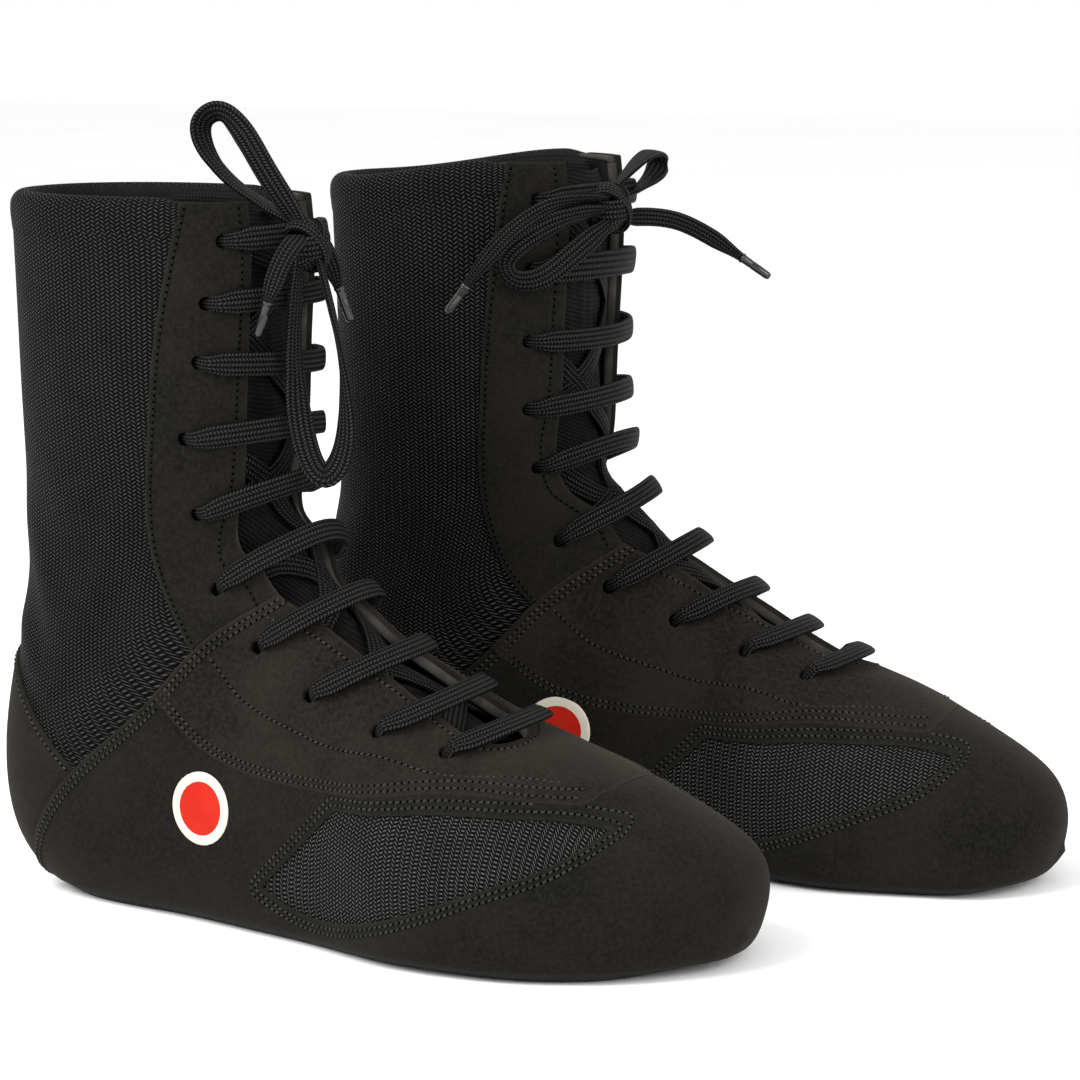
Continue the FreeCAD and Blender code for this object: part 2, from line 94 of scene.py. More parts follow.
# Seams in side view, as (x, z), the same on both sides of a boot.
DIAGONAL_SEAM = [(20, 160), (-14, 121), (-40, 103), (-61, 81), (-101, 47), (-117, 29), (-128, 9), (-131, -10)]
SIDE_SEAM = [(-90, 105), (-61, 81), (-43, 65), (-20, 58), (8, 56), (34, 57), (60, 60), (84, 59), (106, 57)]
TOE_SEAM = [(106, 57), (113, 66), (116, 80), (116, 110)]
SHAFT_EDGES = {
    -1: [(-39, 300), (-45, 254), (-53, 211), (-59.5, 166), (-60, 122), (-46, 98)],
    1: [(-48, 300), (-54, 254), (-61, 211), (-64.5, 166), (-62, 122), (-46, 98)],
}
HEEL_EDGE = [(-97, 50), (-113, 63), (-130, 82), (-170, 118)]
WINDOW_FRONT = [(-12, 19), (5, 13), (33, 14), (60, 22), (85, 32), (106, 41), (117, 50)]
WINDOW_TOP = [(117, 50), (104, 53), (84, 54), (60, 54), (40, 52), (22, 51)]
THROAT_BACK = [(-62, 300), (-62, 160), (-50, 120), (-25, 92), (15, 72), (58, 52)]
INSTEP_LINE = [(-52, 110), (-40, 98), (-26, 84), (-4, 76), (16, 71), (40, 70), (57, 66), (82, 65), (98, 63)]
EYELETS = {
    -1: [
        (-32.5, 242), (-37, 220.5), (-40, 200), (-46, 173), (-44.5, 146),
        (-38.5, 120), (-21, 101), (4, 87), (34, 78), (58, 72),
    ],
    1: [
        (-43, 242), (-45, 221), (-46, 197), (-46.5, 171.5), (-44.5, 149),
        (-36, 122), (-19, 104), (6, 92), (34, 82.5), (58, 75),
    ],
}
LACE_CRESTS = [
    (-22, 243), (-22, 222), (-23, 200), (-22, 177), (-21, 157),
    (-11, 138), (8, 117), (32, 99), (55, 85), (76, 76),
]
# Behind the throat, the lace runs from a row on one side to a higher row on the other.
CROSSINGS = {
    -1: [(10, 8), (8, 6), (6, 4), (4, 2), (2, 1)],
    1: [(10, 9), (9, 7), (7, 5), (5, 3), (3, 1)],
}
EMBLEM_CENTRES = {"outer": (-40, 43), "inner": (-37, 49.5)}
HEEL_EMBLEM_HEIGHT = 56.0

# The two bows are tied differently, and aren't mirrored. Loops and tails follow these points.
KNOTS = {"right": (-14.0, -5.0, 240.0), "left": (-20.0, -18.0, 246.0)}
ROUTES = {
    "right": {
        "loop_up": [
            (-13, -7, 245), (-24, -10, 260), (-38, -10, 281), (-48, -9, 287),
            (-58, -8, 281), (-54, -6, 268), (-39, -3, 255), (-18, -1, 246),
        ],
        "loop_down": [
            (-14, -10, 236), (-16, -12, 209), (-14, -12, 184), (-9, -12, 165), (-3, -11, 159),
            (3, -10, 166), (5, -9, 180), (2, -8, 207), (-9, -5, 235),
        ],
        "tail_outer": [(-13, -10, 243), (-10, -20, 242), (-14, -24, 232), (-18, -24, 220.5)],
        "tail_inner": [(-14, -8, 241), (-15, 4, 242), (-15, 11, 233), (-13, 14, 223)],
    },
    "left": {
        "loop_down": [
            (-20, -24, 246), (-30, -37, 245), (-45, -46, 236), (-53, -47, 228),
            (-49, -46, 220), (-38, -43, 221), (-26, -34, 233), (-19, -24, 240.5),
        ],
        "loop_up": [
            (-20, -14, 252), (-16, -2, 261), (-13, 16, 266), (-13, 24, 262),
            (-13, 18, 256), (-15, 4, 252), (-18, -10, 249),
        ],
        "tail_outer": [(-20, -23, 250), (-31, -39, 251), (-44, -48, 243), (-56, -52, 231), (-66, -51, 218)],
        "tail_inner": [(-17, -12, 242), (-6, -3, 243), (9, 6, 237), (24, 10, 226)],
    },
}
# The way the flat of a lace faces, and the angles it turns from there, at even steps along its route.
FACINGS = {"right": (-0.11, 1.0, 0.0), "left": (0.11, 1.0, 0.3), "left_loop_up": (0.11, 0.4, 1.0)}
TURNS = {
    "right": {
        "loop_up": [20, 5, 0, 45, 80, 85, 70],
        "loop_down": [75, 80, 70, 20, 5, 30, 60, 75, 80],
        "tail_outer": [30, 20, 10, 0],
        "tail_inner": [30, 20, 10, 0],
    },
    "left": {
        "loop_down": [20, 25, 15, 0, -15, -25, -20],
        "loop_up": [40, 20, 0, 0, -20, -30],
        "tail_outer": [20, 20, 10, 0],
        "tail_inner": [25, 20, 10, 0],
    },
}
# The bands of a knot: tilt, turn, radius along X, radius along Z, and width.
KNOT_BANDS = [(8, 0, 6.2, 5.4, 8.4), (-62, 25, 6.4, 7.2, 8.0), (58, -20, 6.0, 6.8, 7.4)]
AGLET = [
    (-1.2, 1.75), (-0.9, 1.95), (-0.2, 1.95), (0.0, 1.7), (0.5, 1.62), (3.0, 1.6), (3.3, 1.48), (3.8, 1.48),
    (4.1, 1.6), (8.0, 1.55), (10.8, 1.5), (11.6, 1.25), (12.0, 0.7),
]


# ---------------------------------------------------------------- curves and distances

def spline(knots, values):
    """A natural cubic spline through rows of values. Returns a function of places along the knots."""
    knots, values = np.asarray(knots, float), np.asarray(values, float)
    count, gaps = len(knots), np.diff(knots)
    system, right = np.zeros((count, count)), np.zeros_like(values)
    system[0, 0] = system[-1, -1] = 1.0
    for i in range(1, count - 1):
        system[i, i - 1:i + 2] = gaps[i - 1], 2 * (gaps[i - 1] + gaps[i]), gaps[i]
        right[i] = 6 * ((values[i + 1] - values[i]) / gaps[i] - (values[i] - values[i - 1]) / gaps[i - 1])
    bend = np.linalg.solve(system, right)

    def at(places):
        k = np.clip(np.searchsorted(knots, places) - 1, 0, count - 2)
        width = gaps[k][:, None]
        a = (knots[k + 1] - places)[:, None] / width
        b = 1 - a
        curve = (a ** 3 - a) * bend[k] + (b ** 3 - b) * bend[k + 1]
        return a * values[k] + b * values[k + 1] + curve * width ** 2 / 6

    return at


def lengths_along(points):
    """How far along a line each of its points lies."""
    steps = np.linalg.norm(np.diff(points, axis=0), axis=1)
    return np.concatenate([[0.0], np.cumsum(steps)])


def smooth_line(points, step=1.5):
    """A smooth line through points, sampled every step millimetres."""
    points = np.asarray(points, float)
    knots = lengths_along(points)
    return spline(knots, points)(np.linspace(0, knots[-1], max(int(knots[-1] / step), 8)))


def resample(points, count):
    """The same line with count points at even steps."""
    measure = lengths_along(points)
    places = np.linspace(0, measure[-1], count)
    return np.stack([np.interp(places, measure, column) for column in points.T], 1)


def line_distance(places, line):
    """Distance of side-view places to an open line that runs on past its ends, positive on its left."""
    start = line[0] + (line[0] - line[1]) * 300 / np.linalg.norm(line[0] - line[1])
    end = line[-1] + (line[-1] - line[-2]) * 300 / np.linalg.norm(line[-1] - line[-2])
    line = np.vstack([start, line, end])
    best = np.full(len(places), np.inf)
    signs = np.ones(len(places))
    for a, b in zip(line, line[1:]):
        run = b - a
        share = np.clip(((places - a) @ run) / (run @ run), 0, 1)
        gap = places - a - share[:, None] * run
        distance = np.hypot(gap[:, 0], gap[:, 1])
        left = run[0] * gap[:, 1] - run[1] * gap[:, 0]
        nearer = distance < best - 1e-9
        signs[nearer] = np.where(left[nearer] >= 0, 1.0, -1.0)
        best = np.minimum(best, distance)
    return best * signs


def outline_distance(places, outline):
    """Distance of side-view places to a closed outline, positive inside it."""
    best = np.full(len(places), np.inf)
    inside = np.zeros(len(places), bool)
    for a, b in zip(outline, np.roll(outline, -1, 0)):
        run = b - a
        share = np.clip(((places - a) @ run) / max(run @ run, 1e-9), 0, 1)
        gap = places - a - share[:, None] * run
        best = np.minimum(best, np.hypot(gap[:, 0], gap[:, 1]))
        spans = (a[1] > places[:, 1]) != (b[1] > places[:, 1])
        rise = b[1] - a[1] if abs(b[1] - a[1]) > 1e-9 else 1e-9
        inside ^= spans & (places[:, 0] < a[0] + (places[:, 1] - a[1]) * run[0] / rise)
    return np.where(inside, best, -best)


def ease(value, low, high):
    """Rises smoothly from 0 at low to 1 at high."""
    share = np.clip((value - low) / (high - low), 0, 1)
    return share * share * (3 - 2 * share)


# ---------------------------------------------------------------- faces

def grid_quads(rows, columns):
    """Four-cornered faces over a grid of points that is stored row by row."""
    at = np.arange(rows * columns).reshape(rows, columns)
    return np.stack([at[:-1, :-1], at[:-1, 1:], at[1:, 1:], at[1:, :-1]], 2).reshape(-1, 4)


def ring_quads(rings, sides):
    """Four-cornered faces between closed rings of points."""
    faces = []
    for ring in range(rings - 1):
        for k in range(sides):
            a, b = ring * sides + k, ring * sides + (k + 1) % sides
            faces.append((a, b, b + sides, a + sides))
    return faces


def capped_rings(rings, sides):
    return ring_quads(rings, sides) + [
        tuple(range((rings - 1) * sides, rings * sides)),
        tuple(reversed(range(sides))),
    ]


def mirrored(faces):
    """The same faces turned over."""
    if isinstance(faces, np.ndarray):
        return faces[:, ::-1]
    return [tuple(reversed(face)) for face in faces]


def face_normal(points, face):
    first, second, third = points[list(face[:3])]
    return np.cross(second - first, third - first)


def open_edges(faces, places=None):
    """The edges that belong to one triangle only. Vertices with the same place number count as one."""
    edges = np.vstack([faces[:, [0, 1]], faces[:, [1, 2]], faces[:, [2, 0]]])
    keys = np.sort(edges if places is None else places[edges], 1)
    _, inverse, counts = np.unique(keys, axis=0, return_inverse=True, return_counts=True)
    return edges[counts[inverse.ravel()] == 1]


# ---------------------------------------------------------------- the boot's skin

def skin_grid(rows, columns):
    """Points, outward normals and distances round each ring of the boot's outer surface."""
    values = np.array([(*low, *high, *rest) for low, high, *rest in SECTIONS])
    back, front = values[:, 0:2], values[:, 2:4]
    knots = (lengths_along(back) + lengths_along(front)) / 2
    sections = spline(knots, values)(np.linspace(0, knots[-1], rows))
    angles = np.linspace(0, 2 * np.pi, 1081)
    cos, sin = np.cos(angles), np.sin(angles)
    points = np.zeros((rows, columns + 1, 3))
    girth = np.zeros((rows, columns + 1))
    for row, (low_x, low_z, high_x, high_z, half, shift, belly, low_power, high_power) in enumerate(sections):
        power = np.where(cos > 0, low_power, high_power)
        reach = (np.abs(cos) ** power + np.abs(sin) ** power) ** (-1 / power)
        along, across = reach * cos, reach * sin
        part = np.where(along > 0, belly * (1 - along), belly - (1 - belly) * along)
        ring = np.stack([
            low_x + (high_x - low_x) * part,
            shift + half * across,
            low_z + (high_z - low_z) * part,
        ], 1)
        points[row] = resample(ring, columns + 1)
        girth[row] = np.linspace(0, lengths_along(ring)[-1], columns + 1)
    down = np.gradient(points, axis=0)
    closed = np.concatenate([points[:, -2:-1], points, points[:, 1:2]], 1)
    round_ = (closed[:, 2:] - closed[:, :-2]) / 2
    normals = np.cross(round_, down)
    normals /= np.maximum(np.linalg.norm(normals, axis=2, keepdims=True), 1e-9)
    outward = normals[rows // 2, columns // 2]
    if outward[0] < 0:
        normals = -normals
    return points, normals, girth


def chains(links):
    """Chains of linked keys, open ones first. A closed chain ends where it starts."""
    found, seen = [], set()
    for start in sorted(key for key in links if len(links[key]) == 1) + sorted(links):
        if start in seen:
            continue
        chain, here = [], start
        while here is not None:
            seen.add(here)
            chain.append(here)
            here = next((key for key in links[here] if key not in seen), None)
        if len(chain) > 3:
            closed = len(links[start]) == 2 and chain[-1] in links[start]
            found.append(chain + [start] if closed else chain)
    return found


class Patch:
    """Triangles over a surface. Every vertex is a row of named values, and cuts fall between the rows."""

    def __init__(self, names, rows, faces):
        self.names, self.rows, self.faces = names, rows, faces

    def copy(self):
        return Patch(dict(self.names), self.rows.copy(), self.faces.copy())

    def __getitem__(self, name):
        return self.rows[:, self.names[name]]

    @property
    def points(self):
        return self.rows[:, 0:3]

    @property
    def normals(self):
        normals = self.rows[:, 3:6]
        return normals / np.maximum(np.linalg.norm(normals, axis=1, keepdims=True), 1e-9)

    def add(self, name, values):
        self.names[name] = self.rows.shape[1]
        self.rows = np.hstack([self.rows, np.reshape(values, (-1, 1))])

    def flip(self, name):
        """Turns a named value round, so that keep() keeps its other side."""
        self.rows[:, self.names[name]] *= -1
        return self

    def split(self, name, level=0.0):
        """Cuts every triangle that crosses a level of a named value."""
        column = self.names[name]
        gap = self.rows[:, column] - level
        gap[np.abs(gap) < SNAP] = 0.0
        self.rows[:, column] = gap + level
        signs = np.sign(gap).astype(int)[self.faces]
        crossed = (signs.min(1) < 0) & (signs.max(1) > 0)
        work, signs = self.faces[crossed], signs[crossed]
        touching = (signs == 0).any(1)
        lone = signs == -np.sign(signs.sum(1))[:, None]
        first = np.where(touching, np.argmax(signs == 0, 1), np.argmax(lone, 1))
        order = (first[:, None] + np.arange(3)) % 3
        a, b, c = np.take_along_axis(work, order, 1).T
        whole = ~touching
        edges = np.vstack([
            np.stack([b[touching], c[touching]], 1),
            np.stack([a[whole], b[whole]], 1),
            np.stack([a[whole], c[whole]], 1),
        ])
        if len(edges) == 0:
            return self
        edges, inverse = np.unique(np.sort(edges, 1), axis=0, return_inverse=True)
        inverse = inverse.ravel() + len(self.rows)
        share = (gap[edges[:, 0]] / (gap[edges[:, 0]] - gap[edges[:, 1]]))[:, None]
        new_rows = self.rows[edges[:, 0]] * (1 - share) + self.rows[edges[:, 1]] * share
        new_rows[:, column] = level
        counts = touching.sum(), whole.sum()
        on_bc = inverse[:counts[0]]
        on_ab = inverse[counts[0]:counts[0] + counts[1]]
        on_ac = inverse[counts[0] + counts[1]:]
        self.rows = np.vstack([self.rows, new_rows])
        self.faces = np.vstack([
            self.faces[~crossed],
            np.stack([a[touching], b[touching], on_bc], 1),
            np.stack([a[touching], on_bc, c[touching]], 1),
            np.stack([a[whole], on_ab, on_ac], 1),
            np.stack([on_ab, b[whole], c[whole]], 1),
            np.stack([on_ab, c[whole], on_ac], 1),
        ])
        return self

    def keep(self, name, level=0.0):
        """Keeps what lies above a level of a named value."""
        self.split(name, level)
        column = self.rows[:, self.names[name]]
        self.faces = self.faces[column[self.faces].mean(1) > level]
        used = np.unique(self.faces)
        renumber = np.full(len(self.rows), -1)
        renumber[used] = np.arange(len(used))
        self.rows, self.faces = self.rows[used], renumber[self.faces]
        return self

    def contour(self, name, level=0.0):
        """The lines along which a named value has a level, as lists of rows."""
        gap = self.rows[:, self.names[name]] - level
        gap = np.where(np.abs(gap) < 1e-6, 1e-6, gap)
        signs = np.sign(gap)[self.faces]
        crossed = self.faces[np.abs(signs.sum(1)) < 3]
        links, places = {}, {}
        for face in crossed:
            ends = []
            for a, b in ((0, 1), (1, 2), (2, 0)):
                a, b = int(face[a]), int(face[b])
                if gap[a] * gap[b] < 0:
                    key = (min(a, b), max(a, b))
                    ends.append(key)
                    if key not in places:
                        share = gap[key[0]] / (gap[key[0]] - gap[key[1]])
                        places[key] = self.rows[key[0]] * (1 - share) + self.rows[key[1]] * share
            if len(ends) == 2:
                links.setdefault(ends[0], []).append(ends[1])
                links.setdefault(ends[1], []).append(ends[0])
        return [np.array([places[key] for key in chain]) for chain in chains(links)]


def throat_at(x, z):
    """The middle and half width of the throat: wide up the shaft, narrow towards the toe."""
    inner = 17.0 + 11.0 * ease(z, 108, 165) - 9.0 * ease(x, -30, 15)
    outer = -21.0
    return (inner + outer) / 2, (inner - outer) / 2


def skin_patch():
    """The whole outer surface as one patch, with the distance of every vertex to each seam.

    Below the diagonal seam, low is over 0. So is vamp below the seam along the foot, behind at the back of
    the facings, heel on the heel cover, window in the windows, throat outside the throat, base above the
    sole and top below the collar. line is 0 along the row of stitches on the instep.
    """
    points, normals, girth = skin_grid(GRID_ROWS, GRID_COLUMNS)
    rows, columns = points.shape[:2]
    tip = np.array([152.6, 9.0, 11.5])
    share = np.tile(np.linspace(0, 1, columns), rows)
    data = np.column_stack([points.reshape(-1, 3), normals.reshape(-1, 3), share, girth.ravel()])
    data = np.vstack([data, [*tip, 1, 0, 0, 0.5, 0]])
    a, b, c, d = grid_quads(rows, columns).T
    ring = np.arange(columns)
    fan = np.stack([ring[:-1], ring[1:], np.full(columns - 1, rows * columns)], 1)
    faces = np.vstack([np.stack([a, d, c], 1), np.stack([a, c, b], 1), fan])
    corner = data[faces[:, 1], :3] - data[faces[:, 0], :3]
    other = data[faces[:, 2], :3] - data[faces[:, 0], :3]
    facing = (np.cross(corner, other) * data[faces[:, 0], 3:6]).sum(1)
    faces[facing < 0] = faces[facing < 0][:, ::-1]
    names = {"x": 0, "y": 1, "z": 2, "share": 6, "girth": 7}
    patch = Patch(names, data, faces)
    x, y, z = patch.points.T
    view = np.stack([x, z], 1)
    vamp_line = np.vstack([smooth_line(SIDE_SEAM), smooth_line(TOE_SEAM)[1:]])
    window = np.vstack([smooth_line(WINDOW_FRONT), smooth_line(WINDOW_TOP)[1:-1], [WINDOW_TOP[-1]]])
    patch.add("low", line_distance(view, smooth_line(DIAGONAL_SEAM)))
    patch.add("vamp", -line_distance(view, vamp_line))
    edges = {side: -line_distance(view, smooth_line(edge)) for side, edge in SHAFT_EDGES.items()}
    patch.add("behind", np.where(y > 0, edges[1], edges[-1]))
    patch.add("heel", line_distance(view, smooth_line(HEEL_EDGE)))
    patch.add("window", outline_distance(view, window))
    patch.add("line", line_distance(view, smooth_line(INSTEP_LINE)))
    front = line_distance(view, np.array(THROAT_BACK, float))
    middle, half = throat_at(x, z)
    slot = np.where(x > THROAT_END, np.hypot(x - THROAT_END, y - middle), np.abs(y - middle))
    patch.add("throat", np.where(front > 0, slot - half, 60.0))
    patch.add("base", z - SOLE_TOP + 0.3)
    patch.add("top", COLLAR_TOP - 1.0 - z)
    return patch


def find_eyelets(skin):
    """Where sideways lines through the eyelets meet the skin, with outward normals, by row and side."""
    tree = BVHTree.FromPolygons(skin.points.tolist(), skin.faces.tolist())
    found = {}
    for side, places in EYELETS.items():
        for row, (x, z) in enumerate(places, start=1):
            hit, normal, _, _ = tree.ray_cast(Vector((x, side * 300, z)), Vector((0, -side, 0)))
            found[row, side] = np.array(hit), np.array(normal if normal.y * side > 0 else -normal)
    return found


# ---------------------------------------------------------------- placing things in the frame of the pair

def place(points, side):
    """Points of a boot's own frame in the frame of the pair, in metres."""
    x, y, z = points.T
    if side == "left":
        z = z + COLLAR_RISE * ease(z, 205, 250) * ease(x, -125, -50)
        y = -y
    return place_own(np.stack([x, y, z], 1), side)


def place_own(points, side):
    """The same for points that aren't mirrored, such as the two bows."""
    shift_x, shift_y, turn = PLACES[side]
    cos, sin = math.cos(math.radians(turn)), math.sin(math.radians(turn))
    x, y, z = np.asarray(points, float).T
    return np.stack([x * cos - y * sin + shift_x, x * sin + y * cos + shift_y, z], 1) * MM


def add_mesh(name, points, faces, materials, body, uv=None, edge=None, picks=None, sharp=48.0):
    """One welded mesh object. uv and edge have a row per point. picks is a material number per face."""
    _, keepers, welded = np.unique(np.round(points, 7), axis=0, return_index=True, return_inverse=True)
    welded = welded.ravel()
    if isinstance(faces, np.ndarray) and faces.shape[1] == 3:
        joined = welded[faces]
        good = (joined != np.roll(joined, -1, 1)).all(1)
        faces, joined = faces[good], joined[good]
        picks = None if picks is None else np.asarray(picks)[good]
        faces, joined = faces.tolist(), joined.tolist()
    else:
        joined = [[int(welded[i]) for i in face] for face in faces]
    mesh = bpy.data.meshes.new(name)
    mesh.from_pydata(points[keepers].tolist(), [], joined)
    if uv is not None:
        layer = mesh.uv_layers.new(name="Fabric")
        flat = np.array([uv[i] for face in faces for i in face], np.float32).ravel()
        layer.data.foreach_set("uv", flat)
    if edge is not None:
        layer = mesh.attributes.new("edge", "FLOAT", "POINT")
        layer.data.foreach_set("value", np.asarray(edge, np.float32)[keepers])
    for material in materials if isinstance(materials, (list, tuple)) else [materials]:
        mesh.materials.append(material)
    if picks is not None:
        mesh.polygons.foreach_set("material_index", np.asarray(picks, np.int32))
    mesh.polygons.foreach_set("use_smooth", [True] * len(mesh.polygons))
    mesh.validate()
    mesh.set_sharp_from_angle(angle=math.radians(sharp))
    item = bpy.data.objects.new(name, mesh)
    bpy.context.scene.collection.objects.link(item)
    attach(item, body)
    return item


def add_pair(name, points, faces, materials, slot, nodes=(), body="boot", **details):
    """The same piece on both boots, in place of their CAD nodes."""
    made = []
    for side in SIDES:
        side_faces = faces if side == "right" else mirrored(faces)
        rider = f"{side}_{body}"
        item = add_mesh(f"{side}_{name}", place(points, side), side_faces, materials, rider, **details)
        if nodes:
            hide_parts(*[f"{side}_{node}" for node in nodes])
        made.append(item)
    return made


# ---------------------------------------------------------------- materials

class Nodes:
    """A short way to write a material's node tree."""

    def __init__(self, name):
        self.material = bpy.data.materials.new(name)
        self.material.use_nodes = True
        self.tree = self.material.node_tree
        self.shader = self.tree.nodes["Principled BSDF"]

    def add(self, kind, **settings):
        node = self.tree.nodes.new(kind)
        for key, value in settings.items():
            setattr(node, key, value)
        return node

    def join(self, source, socket):
        if isinstance(source, (int, float, tuple)):
            socket.default_value = source
        else:
            self.tree.links.new(source, socket)

    def math(self, operation, a, b=0.0, c=0.0):
        node = self.add("ShaderNodeMath", operation=operation)
        for value, socket in zip((a, b, c), node.inputs):
            self.join(value, socket)
        return node.outputs[0]

    def plus(self, a, b):
        return self.math("ADD", a, b)

    def minus(self, a, b):
        return self.math("SUBTRACT", a, b)

    def times(self, a, b):
        return self.math("MULTIPLY", a, b)

    def noise(self, scale, detail=3.0, rough=0.55, vector=None):
        node = self.add("ShaderNodeTexNoise")
        self.join(vector or self.place(), node.inputs["Vector"])
        node.inputs["Scale"].default_value = scale
        node.inputs["Detail"].default_value = detail
        node.inputs["Roughness"].default_value = rough
        return node.outputs["Fac"]

    def place(self):
        return self.add("ShaderNodeTexCoord").outputs["Object"]

    def fabric(self):
        node = self.add("ShaderNodeSeparateXYZ")
        self.join(self.add("ShaderNodeUVMap", uv_map="Fabric").outputs[0], node.inputs[0])
        return node.outputs[0], node.outputs[1]

    def edge(self):
        return self.add("ShaderNodeAttribute", attribute_name="edge").outputs["Fac"]

    def fit(self, value, low, high, to_low=0.0, to_high=1.0):
        node = self.add("ShaderNodeMapRange", interpolation_type="SMOOTHSTEP")
        for item, socket in zip((value, low, high, to_low, to_high), node.inputs):
            self.join(item, socket)
        return node.outputs[0]

    def mix(self, share, a, b):
        node = self.add("ShaderNodeMix", data_type="RGBA")
        self.join(share, node.inputs["Factor"])
        self.join((*a, 1.0) if isinstance(a, tuple) else a, node.inputs[6])
        self.join((*b, 1.0) if isinstance(b, tuple) else b, node.inputs[7])
        return node.outputs[2]

    def bump(self, height, strength, distance, under=None):
        node = self.add("ShaderNodeBump")
        self.join(height, node.inputs["Height"])
        node.inputs["Strength"].default_value = strength
        node.inputs["Distance"].default_value = distance
        if under is not None:
            self.join(under, node.inputs["Normal"])
        return node.outputs[0]

    def finish(self, color, roughness, normal=None, **extra):
        inputs = self.shader.inputs
        self.join((*color, 1.0) if isinstance(color, tuple) else color, inputs["Base Color"])
        self.join(roughness, inputs["Roughness"])
        if normal is not None:
            self.join(normal, inputs["Normal"])
        for name, value in extra.items():
            inputs[name.replace("_", " ")].default_value = value
        return self.material


def rgb(*levels):
    """Linear values of a colour given in 0-255 sRGB."""
    shares = [level / 255 for level in levels]
    return tuple(share / 12.92 if share <= 0.04045 else ((share + 0.055) / 1.055) ** 2.4 for share in shares)


def suede_material(name, dark, light, brushed):
    """Napped suede: fine grain, brushed patches, and paler cut edges, partly rubbed wear and partly a painted
    highlight on the raised edges.
    """
    n = Nodes(name)
    patches = n.fit(n.noise(24.0, 5.0, 0.62), 0.34, 0.66)
    grain = n.noise(2600.0, 2.0, 0.6)
    nap = n.noise(620.0, 3.0, 0.7)
    color = n.mix(patches, dark, light)
    color = n.mix(n.fit(nap, 0.3, 0.75, 0.0, 0.55), color, brushed)
    color = n.mix(n.fit(grain, 0.45, 0.8, 0.0, 0.5), color, brushed)
    # Paler towards the cut edges and on their walls: partly rubbed wear, partly a painted highlight where the
    # raised edges catch the light.
    wear_and_edge_highlight = n.fit(n.edge(), 0.0, 1.1, 0.45, 0.0)
    color = n.mix(wear_and_edge_highlight, color, brushed)
    roughness = n.fit(patches, 0.0, 1.0, 0.86, 0.96)
    rough_bump = n.bump(nap, 0.25, 0.0006)
    normal = n.bump(grain, 0.45, 0.00025, rough_bump)
    return n.finish(
        color, roughness, normal,
        Sheen_Weight=0.05, Sheen_Roughness=0.5, Sheen_Tint=(0.75, 0.68, 0.6, 1.0), Specular_IOR_Level=0.04,
    )


def mesh_material(name, yarn, hole, crest_highlight):
    """Air mesh: columns of short strands that lean one way and the other by turns, over a dark ground. The
    colour follows the strands' height: a painted highlight on their crests, and painted shade in the grooves
    and between the columns on top of the dark ground.
    """
    n = Nodes(name)
    u, v = n.fabric()
    odd = n.math("FLOORED_MODULO", n.math("FLOOR", u), 2.0)
    across = n.minus(n.math("FRACT", u), 0.5)
    row = n.plus(v, n.times(odd, 0.5))
    lean = n.minus(n.times(odd, 2.0), 1.0)
    slope = n.times(n.times(across, lean), 0.75)
    wave = n.math("COSINE", n.times(n.plus(row, slope), 2 * math.pi))
    strands = n.math("POWER", n.fit(wave, -0.55, 1.0), 1.3)
    margin = n.fit(n.math("ABSOLUTE", across), 0.2, 0.5, 1.0, 0.12)
    height = n.times(strands, margin)
    tone = n.fit(n.noise(60.0, 3.0), 0.3, 0.75, 1.0, 0.75)
    # Painted light and shade: the low parts take the dark hole colour, partly the dark ground and partly
    # painted shade, and the crests take a painted highlight.
    color = n.mix(n.times(height, tone), hole, crest_highlight)
    color = n.mix(0.12, color, yarn)
    normal = n.bump(height, 1.0, 0.0012)
    return n.finish(color, n.fit(strands, 0.0, 1.0, 0.7, 0.5), normal, Specular_IOR_Level=0.03)


def braid_material(name, dark, light):
    """Flat tubular braid: five columns of plaits on each face. u runs along the lace, v round it, 0 to 2."""
    n = Nodes(name)
    u, v = n.fabric()
    columns = n.times(v, 5.0)
    share = n.math("FRACT", columns)
    odd = n.math("FLOORED_MODULO", n.math("FLOOR", columns), 2.0)
    slant = n.times(n.math("ABSOLUTE", n.minus(odd, share)), 0.85)
    phase = n.plus(n.math("DIVIDE", u, 1.25), slant)
    plait = n.math("POWER", n.math("ABSOLUTE", n.math("SINE", n.times(phase, math.pi))), 0.9)
    off = n.times(n.minus(share, 0.5), 2.0)
    crown = n.minus(1.0, n.times(n.math("POWER", n.math("ABSOLUTE", off), 2.0), 0.75))
    height = n.times(n.plus(n.times(plait, 0.7), 0.3), crown)
    strand = n.noise(1500.0, 2.0)
    # Painted light and shade: the plaits' crests are painted light as a highlight, and the gaps between them
    # dark as shade.
    color = n.mix(n.math("POWER", n.fit(height, 0.3, 1.0), 1.7), dark, light)
    color = n.mix(n.fit(strand, 0.35, 0.8, 0.0, 0.4), color, dark)
    fine = n.bump(strand, 0.2, 0.0002)
    normal = n.bump(height, 1.0, 0.0008, fine)
    return n.finish(color, 0.6, normal, Specular_IOR_Level=0.07)


def ribbed_material(name, dark, light, pitch):
    """Ribbed knit, u and v in millimetres, with the ribs a pitch apart, their crests painted lighter and
    their grooves darker as painted light and shade.
    """
    n = Nodes(name)
    u, v = n.fabric()
    wave = n.math("SINE", n.times(n.math("DIVIDE", v, pitch), 2 * math.pi))
    cross = n.math("SINE", n.times(n.math("DIVIDE", u, pitch * 0.8), 2 * math.pi))
    height = n.plus(n.times(wave, 0.7), n.times(cross, 0.3))
    # Painted light and shade: the rib crests are painted lighter and the grooves darker.
    color = n.mix(n.fit(height, -0.9, 0.9), dark, light)
    color = n.mix(n.fit(n.noise(900.0), 0.4, 0.8, 0.0, 0.4), color, dark)
    return n.finish(color, 0.75, n.bump(height, 0.6, 0.0004), Specular_IOR_Level=0.1)


